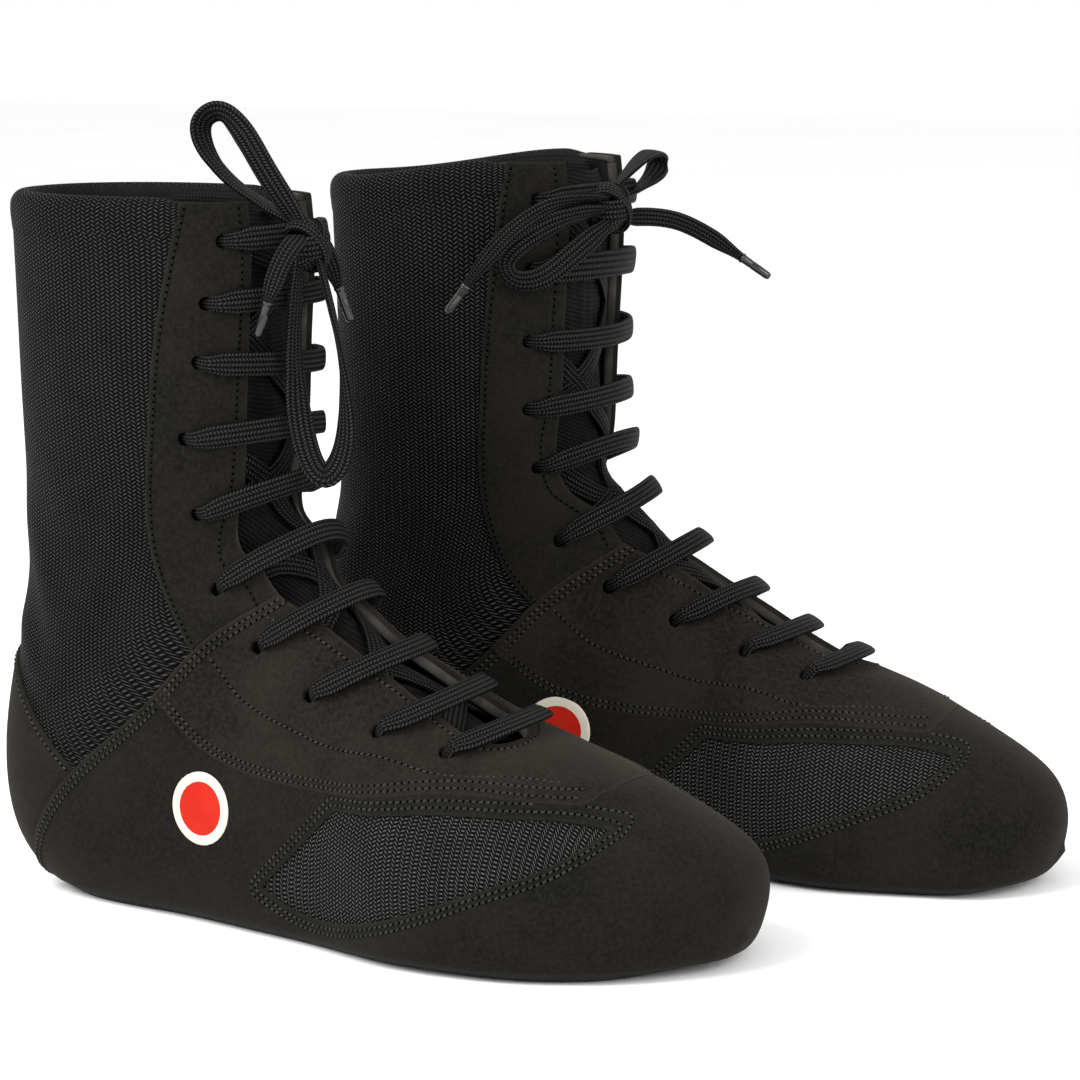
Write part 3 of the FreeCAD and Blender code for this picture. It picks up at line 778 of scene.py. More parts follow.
def plain_material(name, dark, light, scale, roughness, bump=0.3, distance=0.0002, **extra):
    """Moulded or finely woven surfaces: a slight mottle, and a fine grain."""
    n = Nodes(name)
    tone = n.fit(n.noise(scale * 0.05, 3.0), 0.3, 0.7)
    grain = n.noise(scale, 3.0)
    color = n.mix(tone, dark, light)
    color = n.mix(n.fit(grain, 0.4, 0.8, 0.0, 0.3), color, dark)
    rough = n.fit(grain, 0.3, 0.7, roughness - 0.06, roughness + 0.06)
    return n.finish(color, rough, n.bump(grain, bump, distance), **extra)


def grey(level):
    return rgb(level, level, level)


SUEDE = suede_material("suede_black", rgb(8, 8, 7), rgb(21, 20, 18), rgb(32, 31, 28))
SUEDE_WARM = suede_material("suede_instep", rgb(11, 10, 9), rgb(27, 25, 22), rgb(39, 36, 32))
# The last colour of each air mesh is a painted highlight for the strand crests. The vamp windows' mesh is
# paler and has a brighter painted highlight.
MESH = mesh_material("air_mesh", grey(10), grey(1), rgb(69, 69, 68))
MESH_LIGHT = mesh_material("air_mesh_vamp", grey(14), grey(3), rgb(92, 92, 90))
# The lace's light colour is a painted highlight on the plait crests; its dark colour is painted shade between
# them.
LACE = braid_material("lace_braid", grey(1), rgb(48, 48, 47))
# The tongue knit's light colour is painted light on the rib crests; its dark colour is painted shade in the
# grooves.
TONGUE = ribbed_material("tongue_knit", grey(3), grey(19), 1.6)
PIPING = plain_material(
    "edge_binding", rgb(34, 33, 31), rgb(60, 58, 54), 1500.0, 0.85, Specular_IOR_Level=0.1,
)
LINING = plain_material("lining_cloth", grey(12), grey(18), 1800.0, 0.85, Specular_IOR_Level=0.1)
THREAD = plain_material("thread", rgb(29, 29, 27), rgb(47, 46, 43), 3000.0, 0.6, Specular_IOR_Level=0.1)
THREAD_DARK = plain_material(
    "thread_dark", rgb(14, 14, 13), rgb(26, 25, 24), 3000.0, 0.7, Specular_IOR_Level=0.05,
)
# Near-black painted shade for the needle holes between stitches.
HOLE_SHADE = plain_material("needle_hole_shade", grey(1), grey(3), 900.0, 0.95, Specular_IOR_Level=0.0)
RUBBER = plain_material(
    "sole_rubber", grey(12), rgb(19, 19, 18), 700.0, 0.72, 0.5, 0.0004, Specular_IOR_Level=0.2,
)
STIFFENER = plain_material("stiffener", rgb(60, 58, 54), rgb(74, 71, 66), 500.0, 0.8)
BOARD = plain_material("board", rgb(92, 82, 68), rgb(110, 99, 84), 500.0, 0.9)
RED = plain_material(
    "emblem_red", rgb(168, 28, 14), rgb(178, 34, 18), 1200.0, 0.6, 0.15, 0.0001, Specular_IOR_Level=0.1,
)
CREAM = plain_material(
    "emblem_cream", rgb(196, 190, 174), rgb(202, 197, 182), 1200.0, 0.6, 0.15, 0.0001, Specular_IOR_Level=0.1,
)
TIP_CLEAR = plain_material("aglet_pale", rgb(42, 42, 41), rgb(66, 65, 63), 800.0, 0.16, 0.1, 0.0001)
TIP_DARK = plain_material("aglet_dark", rgb(14, 14, 15), rgb(24, 24, 26), 800.0, 0.2, 0.1, 0.0001)


# ---------------------------------------------------------------- panels

def walled(patch, heights, depths):
    """A patch raised by heights over the skin, with a wall going down from its edges.

    Returns points, faces, and the row of the patch that each point comes from.
    """
    top = patch.points + patch.normals * heights[:, None]
    _, places = np.unique(np.round(patch.points, 4), axis=0, return_inverse=True)
    rim = open_edges(patch.faces, places.ravel())
    used = np.unique(rim)
    lower = np.full(len(top), -1)
    lower[used] = len(top) + np.arange(len(used))
    below = patch.points[used] + patch.normals[used] * (heights[used] - depths[used])[:, None]
    a, b = rim.T
    walls = np.vstack([np.stack([a, lower[a], lower[b]], 1), np.stack([a, lower[b], b], 1)])
    rows = np.concatenate([np.arange(len(top)), used])
    return np.vstack([top, below]), np.vstack([patch.faces, walls]), rows


def rounded(distance, drop=0.5, reach=1.2):
    """How much lower a panel is near its cut edge."""
    return drop * (1 - np.clip(distance / reach, 0, 1)) ** 2


def panel(name, patch, edge, heights, depths, material, nodes, slot, uv=None):
    """A panel on both boots. edge is each vertex's distance to the nearest cut edge."""
    points, faces, rows = walled(patch, heights, np.broadcast_to(depths, len(heights)))
    edge = np.concatenate([edge, np.zeros(len(points) - len(edge))])
    uv = None if uv is None else uv[rows]
    add_pair(name, points, faces, material, slot, nodes, uv=uv, edge=edge)


def refine_edges(patch, *names):
    """Adds rows of vertices beside the cut edges, so that they can be rounded."""
    for level in (0.5, 1.2, 2.4):
        for name in names:
            patch.split(name, level)


def refine_holes(patch):
    for level in (6.0, 4.6, 3.6):
        patch.split("hole", level)
    patch.keep("hole", HOLE_RADIUS)


def nearest_edge(patch, *names):
    return np.minimum.reduce([patch[name] for name in names])


def stitch(patch, name, level, lift, thread=0, front=math.inf, **limits):
    """Adds rows of stitches where a named value has a level, at a height over the skin.

    They run only behind the front, and where the other named values are over their limits.
    """
    for line in patch.contour(name, level):
        chosen = line[:, 0] < front
        for other, limit in limits.items():
            chosen &= line[:, patch.names[other]] > limit
        for run in np.split(np.arange(len(line)), np.where(np.diff(chosen.astype(int)) != 0)[0] + 1):
            if chosen[run[0]] and len(run) > 4:
                stitch_lines.append((line[run, 0:3], line[run, 3:6], lift, thread))


def two_sides(patch, middle):
    """The patch in two parts, on the outer and the inner side of a middle line."""
    for suffix, sign in (("outer", -1.0), ("inner", 1.0)):
        part = patch.copy()
        part.add("side", sign * (part["y"] - middle))
        yield suffix, part.keep("side")


def make_shaft_mesh(base):
    """The air mesh of the shaft, under the suede at its edges, with soft folds over the heel."""
    mesh = base.copy().keep("top", 6.5).flip("low").keep("low", -5.0)
    mesh.flip("heel").keep("heel", -5.0).keep("behind", -5.0)
    gap = nearest_edge(mesh, "low", "heel", "behind")
    z, turn = mesh["z"], mesh["share"] * 2 * math.pi
    folds = 0.9 * np.sin(z / 9.0 + 2.2 * np.sin(turn * 4)) * ease(z, 60, 90) * (1 - ease(z, 120, 165))
    heights = -0.5 + 0.9 * ease(gap, 0, 14) + folds * ease(gap, 4, 18)
    uv = np.stack([mesh["share"] * MESH_COLUMNS, z / MESH_ROW], 1)
    panel("shaft_air_mesh", mesh, gap, heights, 0.4, MESH, ["shaft_mesh"], "mesh", uv)


def make_windows(base):
    """The air mesh in the windows of the vamp."""
    for suffix, part in two_sides(base.copy().keep("window", -5.0), 2.0):
        gap = part["window"]
        heights = -0.6 + 0.8 * ease(gap, -1, 7)
        uv = np.stack([part["x"] / 1.7, part["girth"] / 1.5], 1)
        panel(
            f"vamp_air_mesh_{suffix}", part, gap, heights, 0.4, MESH_LIGHT,
            [f"vamp_mesh_{suffix}"], "mesh", uv,
        )


def make_vamp(base):
    """The lower suede panel from the heel to the toe, with a window on each side."""
    vamp = base.copy().keep("low").keep("vamp", -4.0).flip("window").keep("window")
    refine_edges(vamp, "window", "low")
    edge = nearest_edge(vamp, "window", "low")
    over_seam = 0.6 * (1 - ease(vamp["low"], 2, 9))
    under_instep = 0.7 * (1 - ease(vamp["vamp"], -1.5, 0))
    heights = SUEDE_LIFT + over_seam - rounded(edge) - under_instep
    heights = heights - rounded(vamp["base"], 0.8, 2.5)
    panel("vamp_suede", vamp, np.minimum(edge, 20), heights, 1.5, SUEDE, ["vamp"], "suede")
    stitch(vamp, "low", 2.2, 1.35, base=2.0, vamp=0.5)
    stitch(vamp, "low", 4.4, 1.3, base=2.0, vamp=0.5)
    for level in (1.9, 4.0):
        stitch(vamp, "window", level, 0.8, vamp=0.3)


def make_instep(base):
    """The upper suede panel, with the lower eyelets."""
    instep = base.copy().keep("low").flip("vamp").keep("vamp").keep("throat")
    refine_edges(instep, "vamp", "low", "throat")
    refine_holes(instep)
    edge = nearest_edge(instep, "vamp", "low", "throat")
    toe_side = ease(instep["x"], 96, 108)
    seam_lift = (1 - toe_side) * (0.05 + 0.35 * (1 - ease(instep["vamp"], 3, 8)))
    heights = SUEDE_LIFT + 0.6 * (1 - ease(instep["low"], 2, 9)) + seam_lift
    heights = heights - rounded(edge, 0.55 * (1 - toe_side)) - rounded(instep["hole"] - HOLE_RADIUS)
    depths = np.where((instep["throat"] < 0.3) | (instep["hole"] < 3.0), 2.2, 1.2)
    edge = np.minimum(edge, 20)
    panel("instep_suede", instep, edge, heights, depths, SUEDE_WARM, ["instep_panel"], "suede")
    stitch(instep, "low", 2.2, 1.4)
    stitch(instep, "low", 4.4, 1.35)
    for level in (1.6, 3.7):
        stitch(instep, "vamp", level, 1.1, front=104, low=5.0)
    stitch(instep, "line", 0.0, 0.85, front=97, low=5.0)
    stitch(instep, "throat", 3.2, 0.85, hole=3.6)


def make_heel(base):
    heel = base.copy().keep("heel").flip("low").keep("low", -4.0)
    refine_edges(heel, "heel")
    heights = SUEDE_LIFT - rounded(heel["heel"]) - 0.8 * (1 - ease(heel["low"], -1.0, 0.5))
    heights = heights - rounded(heel["base"], 0.8, 2.5)
    panel("heel_suede", heel, np.minimum(heel["heel"], 20), heights, 1.5, SUEDE, ["heel_cover"], "suede")
    stitch(heel, "heel", 1.9, 0.8, low=0.5)


def make_facings(base):
    """The suede strips with the upper eyelets, one on each side of the throat."""
    facing = base.copy().flip("low").keep("low", -4.0).flip("behind").keep("behind").keep("throat")
    refine_edges(facing, "behind", "throat")
    refine_holes(facing)
    for suffix, part in two_sides(facing, -2.0):
        edge = np.minimum(nearest_edge(part, "behind", "throat"), part["top"] + 0.2)
        heights = SUEDE_LIFT - rounded(edge) - 0.8 * (1 - ease(part["low"], -1.0, 0.5))
        heights = heights - rounded(part["hole"] - HOLE_RADIUS)
        open_edge = (part["throat"] < 0.3) | (part["hole"] < 3.0) | (part["top"] < 0.3)
        depths = np.where(open_edge, 2.2, 1.2)
        panel(
            f"facing_suede_{suffix}", part, np.minimum(edge, 20), heights, depths, SUEDE,
            [f"facing_{suffix}"], "suede",
        )
        stitch(part, "behind", 2.0, 0.8, 2, low=0.0)
        stitch(part, "throat", 3.2, 0.8, 2, hole=3.6, low=0.0)


# ---------------------------------------------------------------- stitches

def capsule(sides=5):
    """A short thread, thickest in the middle, along X from -1 to 1, with unit radius."""
    rings = [(-1.0, 0.15), (-0.72, 0.85), (0.0, 1.0), (0.72, 0.85), (1.0, 0.15)]
    spokes = [(math.cos(2 * math.pi * k / sides), math.sin(2 * math.pi * k / sides)) for k in range(sides)]
    points = [(x, radius * cos, radius * sin) for x, radius in rings for cos, sin in spokes]
    faces = []
    for a, b, c, d in ring_quads(len(rings), sides):
        faces += [(a, d, c), (a, c, b)]
    return np.array(points), np.array(faces)


def make_stitching(pitch=2.4, length=1.75, thickness=0.95):
    """Every stitch of a boot, and between each two a near-black disc of painted shade for the needle hole."""
    thread, thread_faces = capsule()
    corners = [(math.cos(angle), math.sin(angle), 0) for angle in np.linspace(0, 2 * math.pi, 7)[:-1]]
    disc = np.array([(0, 0, 0)] + corners)
    disc_faces = np.array([(0, k, k % 6 + 1) for k in range(1, 7)])
    points, faces, picks = [], [], []
    total = 0
    for places, normals, lift, pick in stitch_lines:
        measure = lengths_along(places)
        count = int(measure[-1] / pitch)
        for k in range(count):
            middle = (k + 0.5) * measure[-1] / count
            start = np.array([np.interp(middle - 0.8, measure, column) for column in places.T])
            end = np.array([np.interp(middle + 0.8, measure, column) for column in places.T])
            normal = np.array([np.interp(middle, measure, column) for column in normals.T])
            normal /= np.linalg.norm(normal)
            along = end - start
            if np.linalg.norm(along) < 0.2:
                continue
            along /= np.linalg.norm(along)
            across = np.cross(normal, along)
            tilt = math.radians(13 + rng.uniform(-4, 4))
            lean = along * math.cos(tilt) + across * math.sin(tilt)
            side = np.cross(normal, lean)
            centre = (start + end) / 2 + normal * (lift + 0.06)
            body = (
                thread[:, :1] * lean * (length / 2) + thread[:, 1:2] * side * (thickness / 2)
                + thread[:, 2:3] * normal * (thickness * 0.42) - (thread[:, :1] ** 4) * normal * 0.2
            )
            # A near-black disc of painted shade stands for the shadow in the needle hole.
            hole = centre + along * (pitch / 2) + normal * 0.04
            points += [centre + body, hole + disc[:, :1] * along * 0.42 + disc[:, 1:2] * across * 0.5]
            faces += [thread_faces + total, disc_faces + total + len(thread)]
            picks += [pick] * len(thread_faces) + [1] * len(disc_faces)
            total += len(thread) + len(disc)
    materials = [THREAD, HOLE_SHADE, THREAD_DARK]
    add_pair("stitching", np.vstack(points), np.vstack(faces), materials, "lace", picks=picks)


# ---------------------------------------------------------------- lining, edge binding and padded collar

def make_lining():
    """The cloth inside the boot, which stops short of the toe and the collar."""
    lining = skin.copy().keep("base", 3.0).keep("throat", 0.6)
    lining.add("toe", 128.0 - lining["x"])
    lining.keep("toe").keep("top", 2.0).split("hole", 4.6).keep("hole", HOLE_RADIUS)
    points = lining.points - lining.normals * LINING_DEPTH
    add_pair("lining", points, mirrored(lining.faces), LINING, "lining", ["vamp_lining", "quarter_lining"])


def tube(path, normals, wide, thick, sides=14, square=2.0, ends=True):
    """A flat or round tube along a path. wide and thick are full sizes, for all points or for each."""
    count = len(path)
    tangent = np.gradient(path, axis=0)
    tangent /= np.maximum(np.linalg.norm(tangent, axis=1, keepdims=True), 1e-9)
    up = normals - tangent * (normals * tangent).sum(1, keepdims=True)
    up /= np.maximum(np.linalg.norm(up, axis=1, keepdims=True), 1e-9)
    across = np.cross(up, tangent)
    angles = np.linspace(0, 2 * np.pi, sides + 1)
    cos, sin = np.cos(angles), np.sin(angles)
    reach = (np.abs(cos) ** square + np.abs(sin) ** square) ** (-1 / square)
    wide, thick = np.broadcast_to(wide, count), np.broadcast_to(thick, count)
    ring = (
        across[:, None] * (wide[:, None, None] / 2) * (reach * cos)[None, :, None]
        + up[:, None] * (thick[:, None, None] / 2) * (reach * sin)[None, :, None]
    )
    points = (path[:, None] + ring).reshape(-1, 3)
    outline = np.stack([reach * cos * 3.5, reach * sin], 1)
    girth = lengths_along(outline)
    uv = np.stack([np.repeat(lengths_along(path), sides + 1), np.tile(girth / girth[-1] * 2, count)], 1)
    faces = [tuple(face) for face in grid_quads(count, sides + 1).tolist()]
    if ends:
        last = (count - 1) * (sides + 1)
        faces.append(tuple(reversed(range(sides))))
        faces.append(tuple(range(last, last + sides)))
    return points, faces, uv


def join_parts(parts):
    points, faces, uv, total = [], [], [], 0
    for part_points, part_faces, part_uv in parts:
        points.append(part_points)
        faces += [tuple(i + total for i in face) for face in part_faces]
        uv.append(part_uv)
        total += len(part_points)
    return np.vstack(points), faces, np.vstack(uv)


def edge_tube(line, depth, least, thick, smoothings):
    """A tube under a line on the skin, made calmer by a number of smoothings."""
    path = line[:, 0:3] - line[:, 3:6] * depth
    rows = resample(np.hstack([path, line[:, 3:6]]), max(int(lengths_along(path)[-1] / 1.5), least))
    for _ in range(smoothings):
        rows[1:-1] = (rows[:-2] + rows[1:-1] * 2 + rows[2:]) / 4
    return tube(rows[:, :3], rows[:, 3:], 2.4, thick, sides=12)


def make_binding():
    """The grey binding along the throat and the tops of the facings, between suede and lining."""
    band = skin.copy().keep("base").keep("top", 2.5)
    parts = [edge_tube(line, 3.2, 12, 3.6, 6) for line in band.contour("throat", 0.4)]
    upper = skin.copy().keep("throat", 0.3).flip("behind").keep("behind", -2.0)
    parts += [edge_tube(line, 3.3, 8, 3.8, 0) for line in upper.contour("top", 1.2)]
    points, faces, uv = join_parts(parts)
    add_pair("throat_binding", points, faces, PIPING, "lining", uv=uv)


def collar_profile(radius, height):
    """The collar's section as (outward, up): up the outside, over a half round, and down the inside."""
    profile = [(0.3, -8.0), (0.7, -4.5), (1.0, -1.5)]
    for k in range(1, 14):
        angle = math.pi * k / 14
        profile.append((1.0 - radius + radius * math.cos(angle), height * math.sin(angle)))
    inner = 1.0 - 2 * radius
    profile += [(inner, -2.0), (inner + 0.5, -6.0), (inner + 1.4, -10.0), (inner + 2.6, -14.0)]
    return resample(np.array(profile), 34)


def make_collar():
    """The mesh rolls over a soft foam edge at the top of the shaft, and comes down inside as lining."""
    radius = 4.8
    band = skin.copy().keep("base")
    line = max(band.contour("top", 4.5), key=len)
    behind = line[:, band.names["behind"]]
    chosen = np.where(behind > -3.0)[0]
    # The line starts at the back, so its two halves are put together there.
    breaks = np.where(np.diff(chosen) > 1)[0]
    chosen = np.roll(chosen, -breaks[0] - 1)
    rows = resample(line[chosen, :8], 240)
    path, normals = rows[:, 0:3], rows[:, 3:6] * [1, 1, 0]
    normals /= np.linalg.norm(normals, axis=1, keepdims=True)
    behind = np.interp(np.linspace(0, 1, 240), np.linspace(0, 1, len(chosen)), behind[chosen])
    pinch = 1 - 0.3 * (1 - ease(behind, -3, 3))
    profile = collar_profile(radius, 6.0)
    points, uv = [], []
    for (out, up), step in zip(profile, lengths_along(profile)):
        points.append(path + normals * (out * pinch)[:, None] + np.array([0, 0, up]) * pinch[:, None])
        uv.append(np.stack([rows[:, 6] * MESH_COLUMNS, np.full(len(path), (243.0 + step) / MESH_ROW)], 1))
    points, uv = np.vstack(points), np.vstack(uv)
    inside = np.repeat(profile[:-1, 0] < 1.0 - 1.3 * radius, len(path) - 1).astype(int)
    faces = [tuple(face) for face in grid_quads(len(profile), len(path)).tolist()]
    sample = faces[len(faces) // 6]
    if (face_normal(points, sample)[:2] * (points[sample[0]] - points.mean(0))[:2]).sum() < 0:
        faces = mirrored(faces)
    for item in add_pair(
        "collar_roll", points, faces, [MESH, LINING], "mesh", ["collar_pad"], uv=uv, picks=inside,
    ):
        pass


def make_tongue_wings():
    """The knitted wings of the tongue, flat against the wall inside the collar."""
    wing = skin.copy().keep("base", 130.0)
    x, y, z = wing.points.T
    crest = COLLAR_TOP - 1.2 - 8.0 * (np.minimum(x + 83, 0) / 32) ** 2
    middle, half = throat_at(x, z)
    wing.add("gap", np.minimum.reduce([crest - z, x + 118, np.abs(y - middle) - half - 8]))
    wing.keep("gap").split("gap", 1.0).split("gap", 2.5)
    depth = 5.2 + 1.6 * ease(wing["gap"], 0, 3) + 4.6 * ease(wing["z"], 236, 248)
    points = wing.points - wing.normals * depth[:, None]
    uv = np.stack([wing["z"], wing["girth"]], 1)
    add_pair("tongue_wings", points, mirrored(wing.faces), TONGUE, "tongue", uv=uv)


# ---------------------------------------------------------------- tongue and sock liner

def make_tongue():
    """The padded tongue under the throat, with soft ribs and rounded upper corners."""
    patch = skin.copy().keep("base", 12.0)
    x, y, z = patch.points.T
    front = line_distance(np.stack([x, z], 1), np.array(THROAT_BACK[:-1] + [(62, 48)], float))
    middle, half = throat_at(x, z)
    half = half + 4.0
    off = np.abs(y - middle)
    corner = np.hypot(np.maximum(off - half + 9, 0), np.maximum(z - 243, 0))
    border = np.minimum(half - off, 64.0 - x)
    border = np.where((z > 243) & (off > half - 9), np.minimum(border, 9 - corner), border)
    border = np.minimum(border, 252.0 - z)
    patch.add("border", np.where(front > 0, border, -20.0))
    patch.keep("border").split("border", 1.0).split("border", 2.2).split("border", 3.4)
    edge = patch["border"]
    puff = 0.9 * ease(edge, 0, 5) + 0.25 * np.cos((patch["y"] + 2) / 23 * 6 * math.pi) * ease(edge, 3, 6)
    top = patch.points - patch.normals * (9.3 - puff)[:, None]
    under = patch.points - patch.normals * (10.4 + 0.4 * ease(edge, 0, 4))[:, None]
    a, b = open_edges(patch.faces).T
    count = len(top)
    faces = np.vstack([
        patch.faces,
        mirrored(patch.faces) + count,
        np.stack([a, a + count, b + count], 1),
        np.stack([a, b + count, b], 1),
    ])
    uv = np.stack([patch["y"], patch["z"] + 0.4 * patch["x"]], 1)
    for item in add_pair(
        "tongue_pad", np.vstack([top, under]), faces, TONGUE, "tongue", ["tongue"], "tongue",
        uv=np.vstack([uv, uv]),
    ):
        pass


def make_sock_liner():
    """A thin padded liner that lies on the board."""
    band = skin.copy()
    band.add("level", band["z"] - 8.0)
    line = max(band.contour("level"), key=len)
    rim = resample(line[:, :3] - np.array([1, 1, 0]) * line[:, 3:6] * 7.6, 121)[:-1]
    axis = np.interp(rim[:, 0], [-130, -60, 0, 60, 140], [1, -2, -5, 1, 10])
    rings = [
        (1.0, 6.2), (1.0, 8.6), (0.985, 9.4), (0.9, 9.8), (0.7, 9.8), (0.45, 9.7), (0.2, 9.7), (0.02, 9.7),
    ]
    points = []
    for share, level in rings:
        x = rim[:, 0] * (0.5 + 0.5 * share) + 2 * (1 - share)
        y = axis + (rim[:, 1] - axis) * share
        points.append(np.stack([x, y, np.full(len(x), level)], 1))
    points = np.vstack(points)
    faces = capped_rings(len(rings), len(rim))
    if face_normal(points, faces[len(rim) * 4])[2] < 0:
        faces = mirrored(faces)
    for item in add_pair("sock_pad", points, faces, LINING, "sock", ["sock_liner"], "sock_liner"):
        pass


# ---------------------------------------------------------------- threaded lace

def lace_run(low, high, outward, depth, arch, dive):
    """A length of lace over the skin between two eyelets, at a depth below it, diving into the holes."""
    along = high - low
    outward -= along * (outward @ along) / (along @ along)
    outward /= np.linalg.norm(outward)
    level = np.cross(along / np.linalg.norm(along), outward)
    band = skin.copy()
    band.add("cut", (band.points - low) @ level)
    band.add("ahead", (band.points - (low + high) / 2) @ outward + 3.0)
    band.keep("ahead")
    line = min(band.contour("cut"), key=lambda item: np.linalg.norm(item[:, :3] - low, axis=1).min())
    if np.linalg.norm(line[0, :3] - low) > np.linalg.norm(line[-1, :3] - low):
        line = line[::-1]
    first = np.argmin(np.linalg.norm(line[:, :3] - low, axis=1))
    last = np.argmin(np.linalg.norm(line[:, :3] - high, axis=1))
    line = resample(line[min(first, last):max(first, last) + 1, :6], 44)
    share = np.linspace(0, 1, 44)
    normals = line[:, 3:6] / np.linalg.norm(line[:, 3:6], axis=1, keepdims=True)
    near_end = np.minimum(share, 1 - share) * lengths_along(line[:, :3])[-1]
    sink = dive * (1 - ease(near_end, 0.0, 3.4))
    height = -depth + arch * np.sin(math.pi * share) - sink
    return line[:, :3] + normals * height[:, None], normals, near_end


def crossing_bar(row, place, crest):
    """A row of lace in front of the throat, a little arched and turned."""
    outward = np.array([crest[0] - place[0], 0.0, crest[1] - place[1]])
    arch = rng.uniform(0.8, 1.8) if row < 5 else rng.uniform(2.0, 3.0)
    path, normals, near_end = lace_run(eyelets[row, -1][0], eyelets[row, 1][0], outward, -2.2, arch, 5.6)
    width = 5.2 + (LACE_WIDTH - 5.2) * ease(near_end, 1.5, 10.0)
    thick = 3.4 - 0.7 * ease(near_end, 1.5, 9.0)
    roll = math.radians(rng.uniform(-9, 9))
    tangent = np.gradient(path, axis=0)
    tangent /= np.linalg.norm(tangent, axis=1, keepdims=True)
    across = np.cross(normals, tangent)
    wave = np.sin(np.linspace(0, 2 * math.pi, len(path)) + rng.uniform(0, 6))
    tilted = normals * math.cos(roll) + across * (math.sin(roll) * wave)[:, None]
    return tube(path, tilted, width, thick, 18, 2.6)


def make_lace():
    """The lace in the eyelets: bars in front of the throat, and slanting runs behind it."""
    parts = []
    for row, (place, crest) in enumerate(zip(EYELETS[-1], LACE_CRESTS), start=1):
        parts.append(crossing_bar(row, place, crest))
    for side, rows in CROSSINGS.items():
        for low, high in rows:
            (start, one), (end, other) = eyelets[low, -side], eyelets[high, side]
            outward = np.array([one[0] + other[0], 0.0, one[2] + other[2]])
            path, normals, near_end = lace_run(start, end, outward, 6.6, 0.0, -1.5)
            width = 4.5 + (LACE_WIDTH - 4.7) * ease(near_end, 0.5, 9.0)
            parts.append(tube(path, normals, width, 2.0, 18, 2.6))
    points, faces, uv = join_parts(parts)
    add_pair("threaded_lace", points, faces, LACE, "lace", ["lace"], uv=uv)


# ---------------------------------------------------------------- bows

def cord_line(points):
    """Points along the smooth line that a route of points stands for."""
    curve = bpy.data.curves.new("route", "CURVE")
    curve.dimensions = "3D"
    line = curve.splines.new("NURBS")
    line.points.add(len(points) - 1)
    for point, co in zip(line.points, points):
        point.co = (*co, 1.0)
    line.order_u = 3
    line.use_endpoint_u = True
    line.resolution_u = 12
    holder = bpy.data.objects.new("route", curve)
    bpy.context.scene.collection.objects.link(holder)
    bpy.context.view_layer.update()
    mesh = bpy.data.meshes.new_from_object(holder)
    path = np.array([vertex.co for vertex in mesh.vertices])
    bpy.data.objects.remove(holder)
    bpy.data.curves.remove(curve)
    bpy.data.meshes.remove(mesh)
    return path


def ribbon(name, side, width, end_share, end_start):
    """A flat free lace along its route, narrower by end_share from end_start on."""
    path = cord_line(place_own(ROUTES[side][name], side))
    path = resample(path, max(int(lengths_along(path)[-1] / (1.4 * MM)), 12))
    count = len(path)
    tangent = np.gradient(path, axis=0)
    tangent /= np.linalg.norm(tangent, axis=1, keepdims=True)
    hint = np.array(FACINGS.get(f"{side}_{name}", FACINGS[side]))
    hint /= np.linalg.norm(hint)
    up = hint - tangent * (tangent @ hint)[:, None]
    for k in range(1, count):
        if up[k] @ up[k - 1] < 0:
            up[k] = -up[k]
    up /= np.maximum(np.linalg.norm(up, axis=1, keepdims=True), 1e-6)
    across = np.cross(up, tangent)
    turns = TURNS[side][name]
    share = np.linspace(0, 1, count)
    angles = np.radians(np.interp(share, np.linspace(0, 1, len(turns)), turns))
    flat = up * np.cos(angles)[:, None] + across * np.sin(angles)[:, None]
    wide = width * (1 - 0.35 * (1 - ease(share, 0, 0.12))) * (1 - end_share * ease(share, end_start, 1.0))
    points, faces, uv = tube(path / MM, flat, wide, LACE_THICKNESS, 18, 2.6)
    item = add_mesh(f"{side}_{name}_ribbon", points * MM, faces, LACE, f"{side}_boot", uv)
    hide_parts(f"{side}_{name}")
    return item, path


def make_tip(name, side, start, direction, material, sides=20):
    """An aglet, turned about a direction."""
    direction = direction / np.linalg.norm(direction)
    side_way = np.cross(direction, [0.3, 0.9, 0.2])
    side_way /= np.linalg.norm(side_way)
    other = np.cross(direction, side_way)
    points = []
    for along, radius in AGLET:
        for k in range(sides):
            angle = 2 * math.pi * k / sides
            spoke = side_way * math.cos(angle) + other * math.sin(angle)
            points.append(start + (direction * along + spoke * radius) * MM)
    faces = capped_rings(len(AGLET), sides)
    item = add_mesh(f"{side}_{name}_tip", np.array(points), faces, material, f"{side}_boot", sharp=70)
    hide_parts(f"{side}_{name}")
    return item


def turned_about(rows, degrees, first, second):
    """Rows of coordinates turned in the plane of two axes."""
    cos, sin = math.cos(math.radians(degrees)), math.sin(math.radians(degrees))
    result = rows.copy()
    result[:, first] = rows[:, first] * cos - rows[:, second] * sin
    result[:, second] = rows[:, first] * sin + rows[:, second] * cos
    return result


def make_knot(side):
    """The knot: short turns of lace that wrap the crossing."""
    parts = []
    angles = np.linspace(0, 2 * math.pi, 49)
    cos, sin, flat = np.cos(angles), np.sin(angles), np.zeros(49)
    for tilt, turn, radius_x, radius_z, width in KNOT_BANDS:
        ring = np.stack([cos * radius_x, sin * radius_z * 1.25, flat], 1)
        out = np.stack([cos, sin, flat], 1)
        ring, out = (turned_about(turned_about(rows, tilt, 1, 2), turn, 0, 2) for rows in (ring, out))
        parts.append(tube(ring + np.array(KNOTS[side]), out, width, 2.4, 16, 2.6, ends=False))
    points, faces, uv = join_parts(parts)
    item = add_mesh(f"{side}_bow_knot", place_own(points, side), faces, LACE, f"{side}_boot", uv)
    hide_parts(f"{side}_knot")


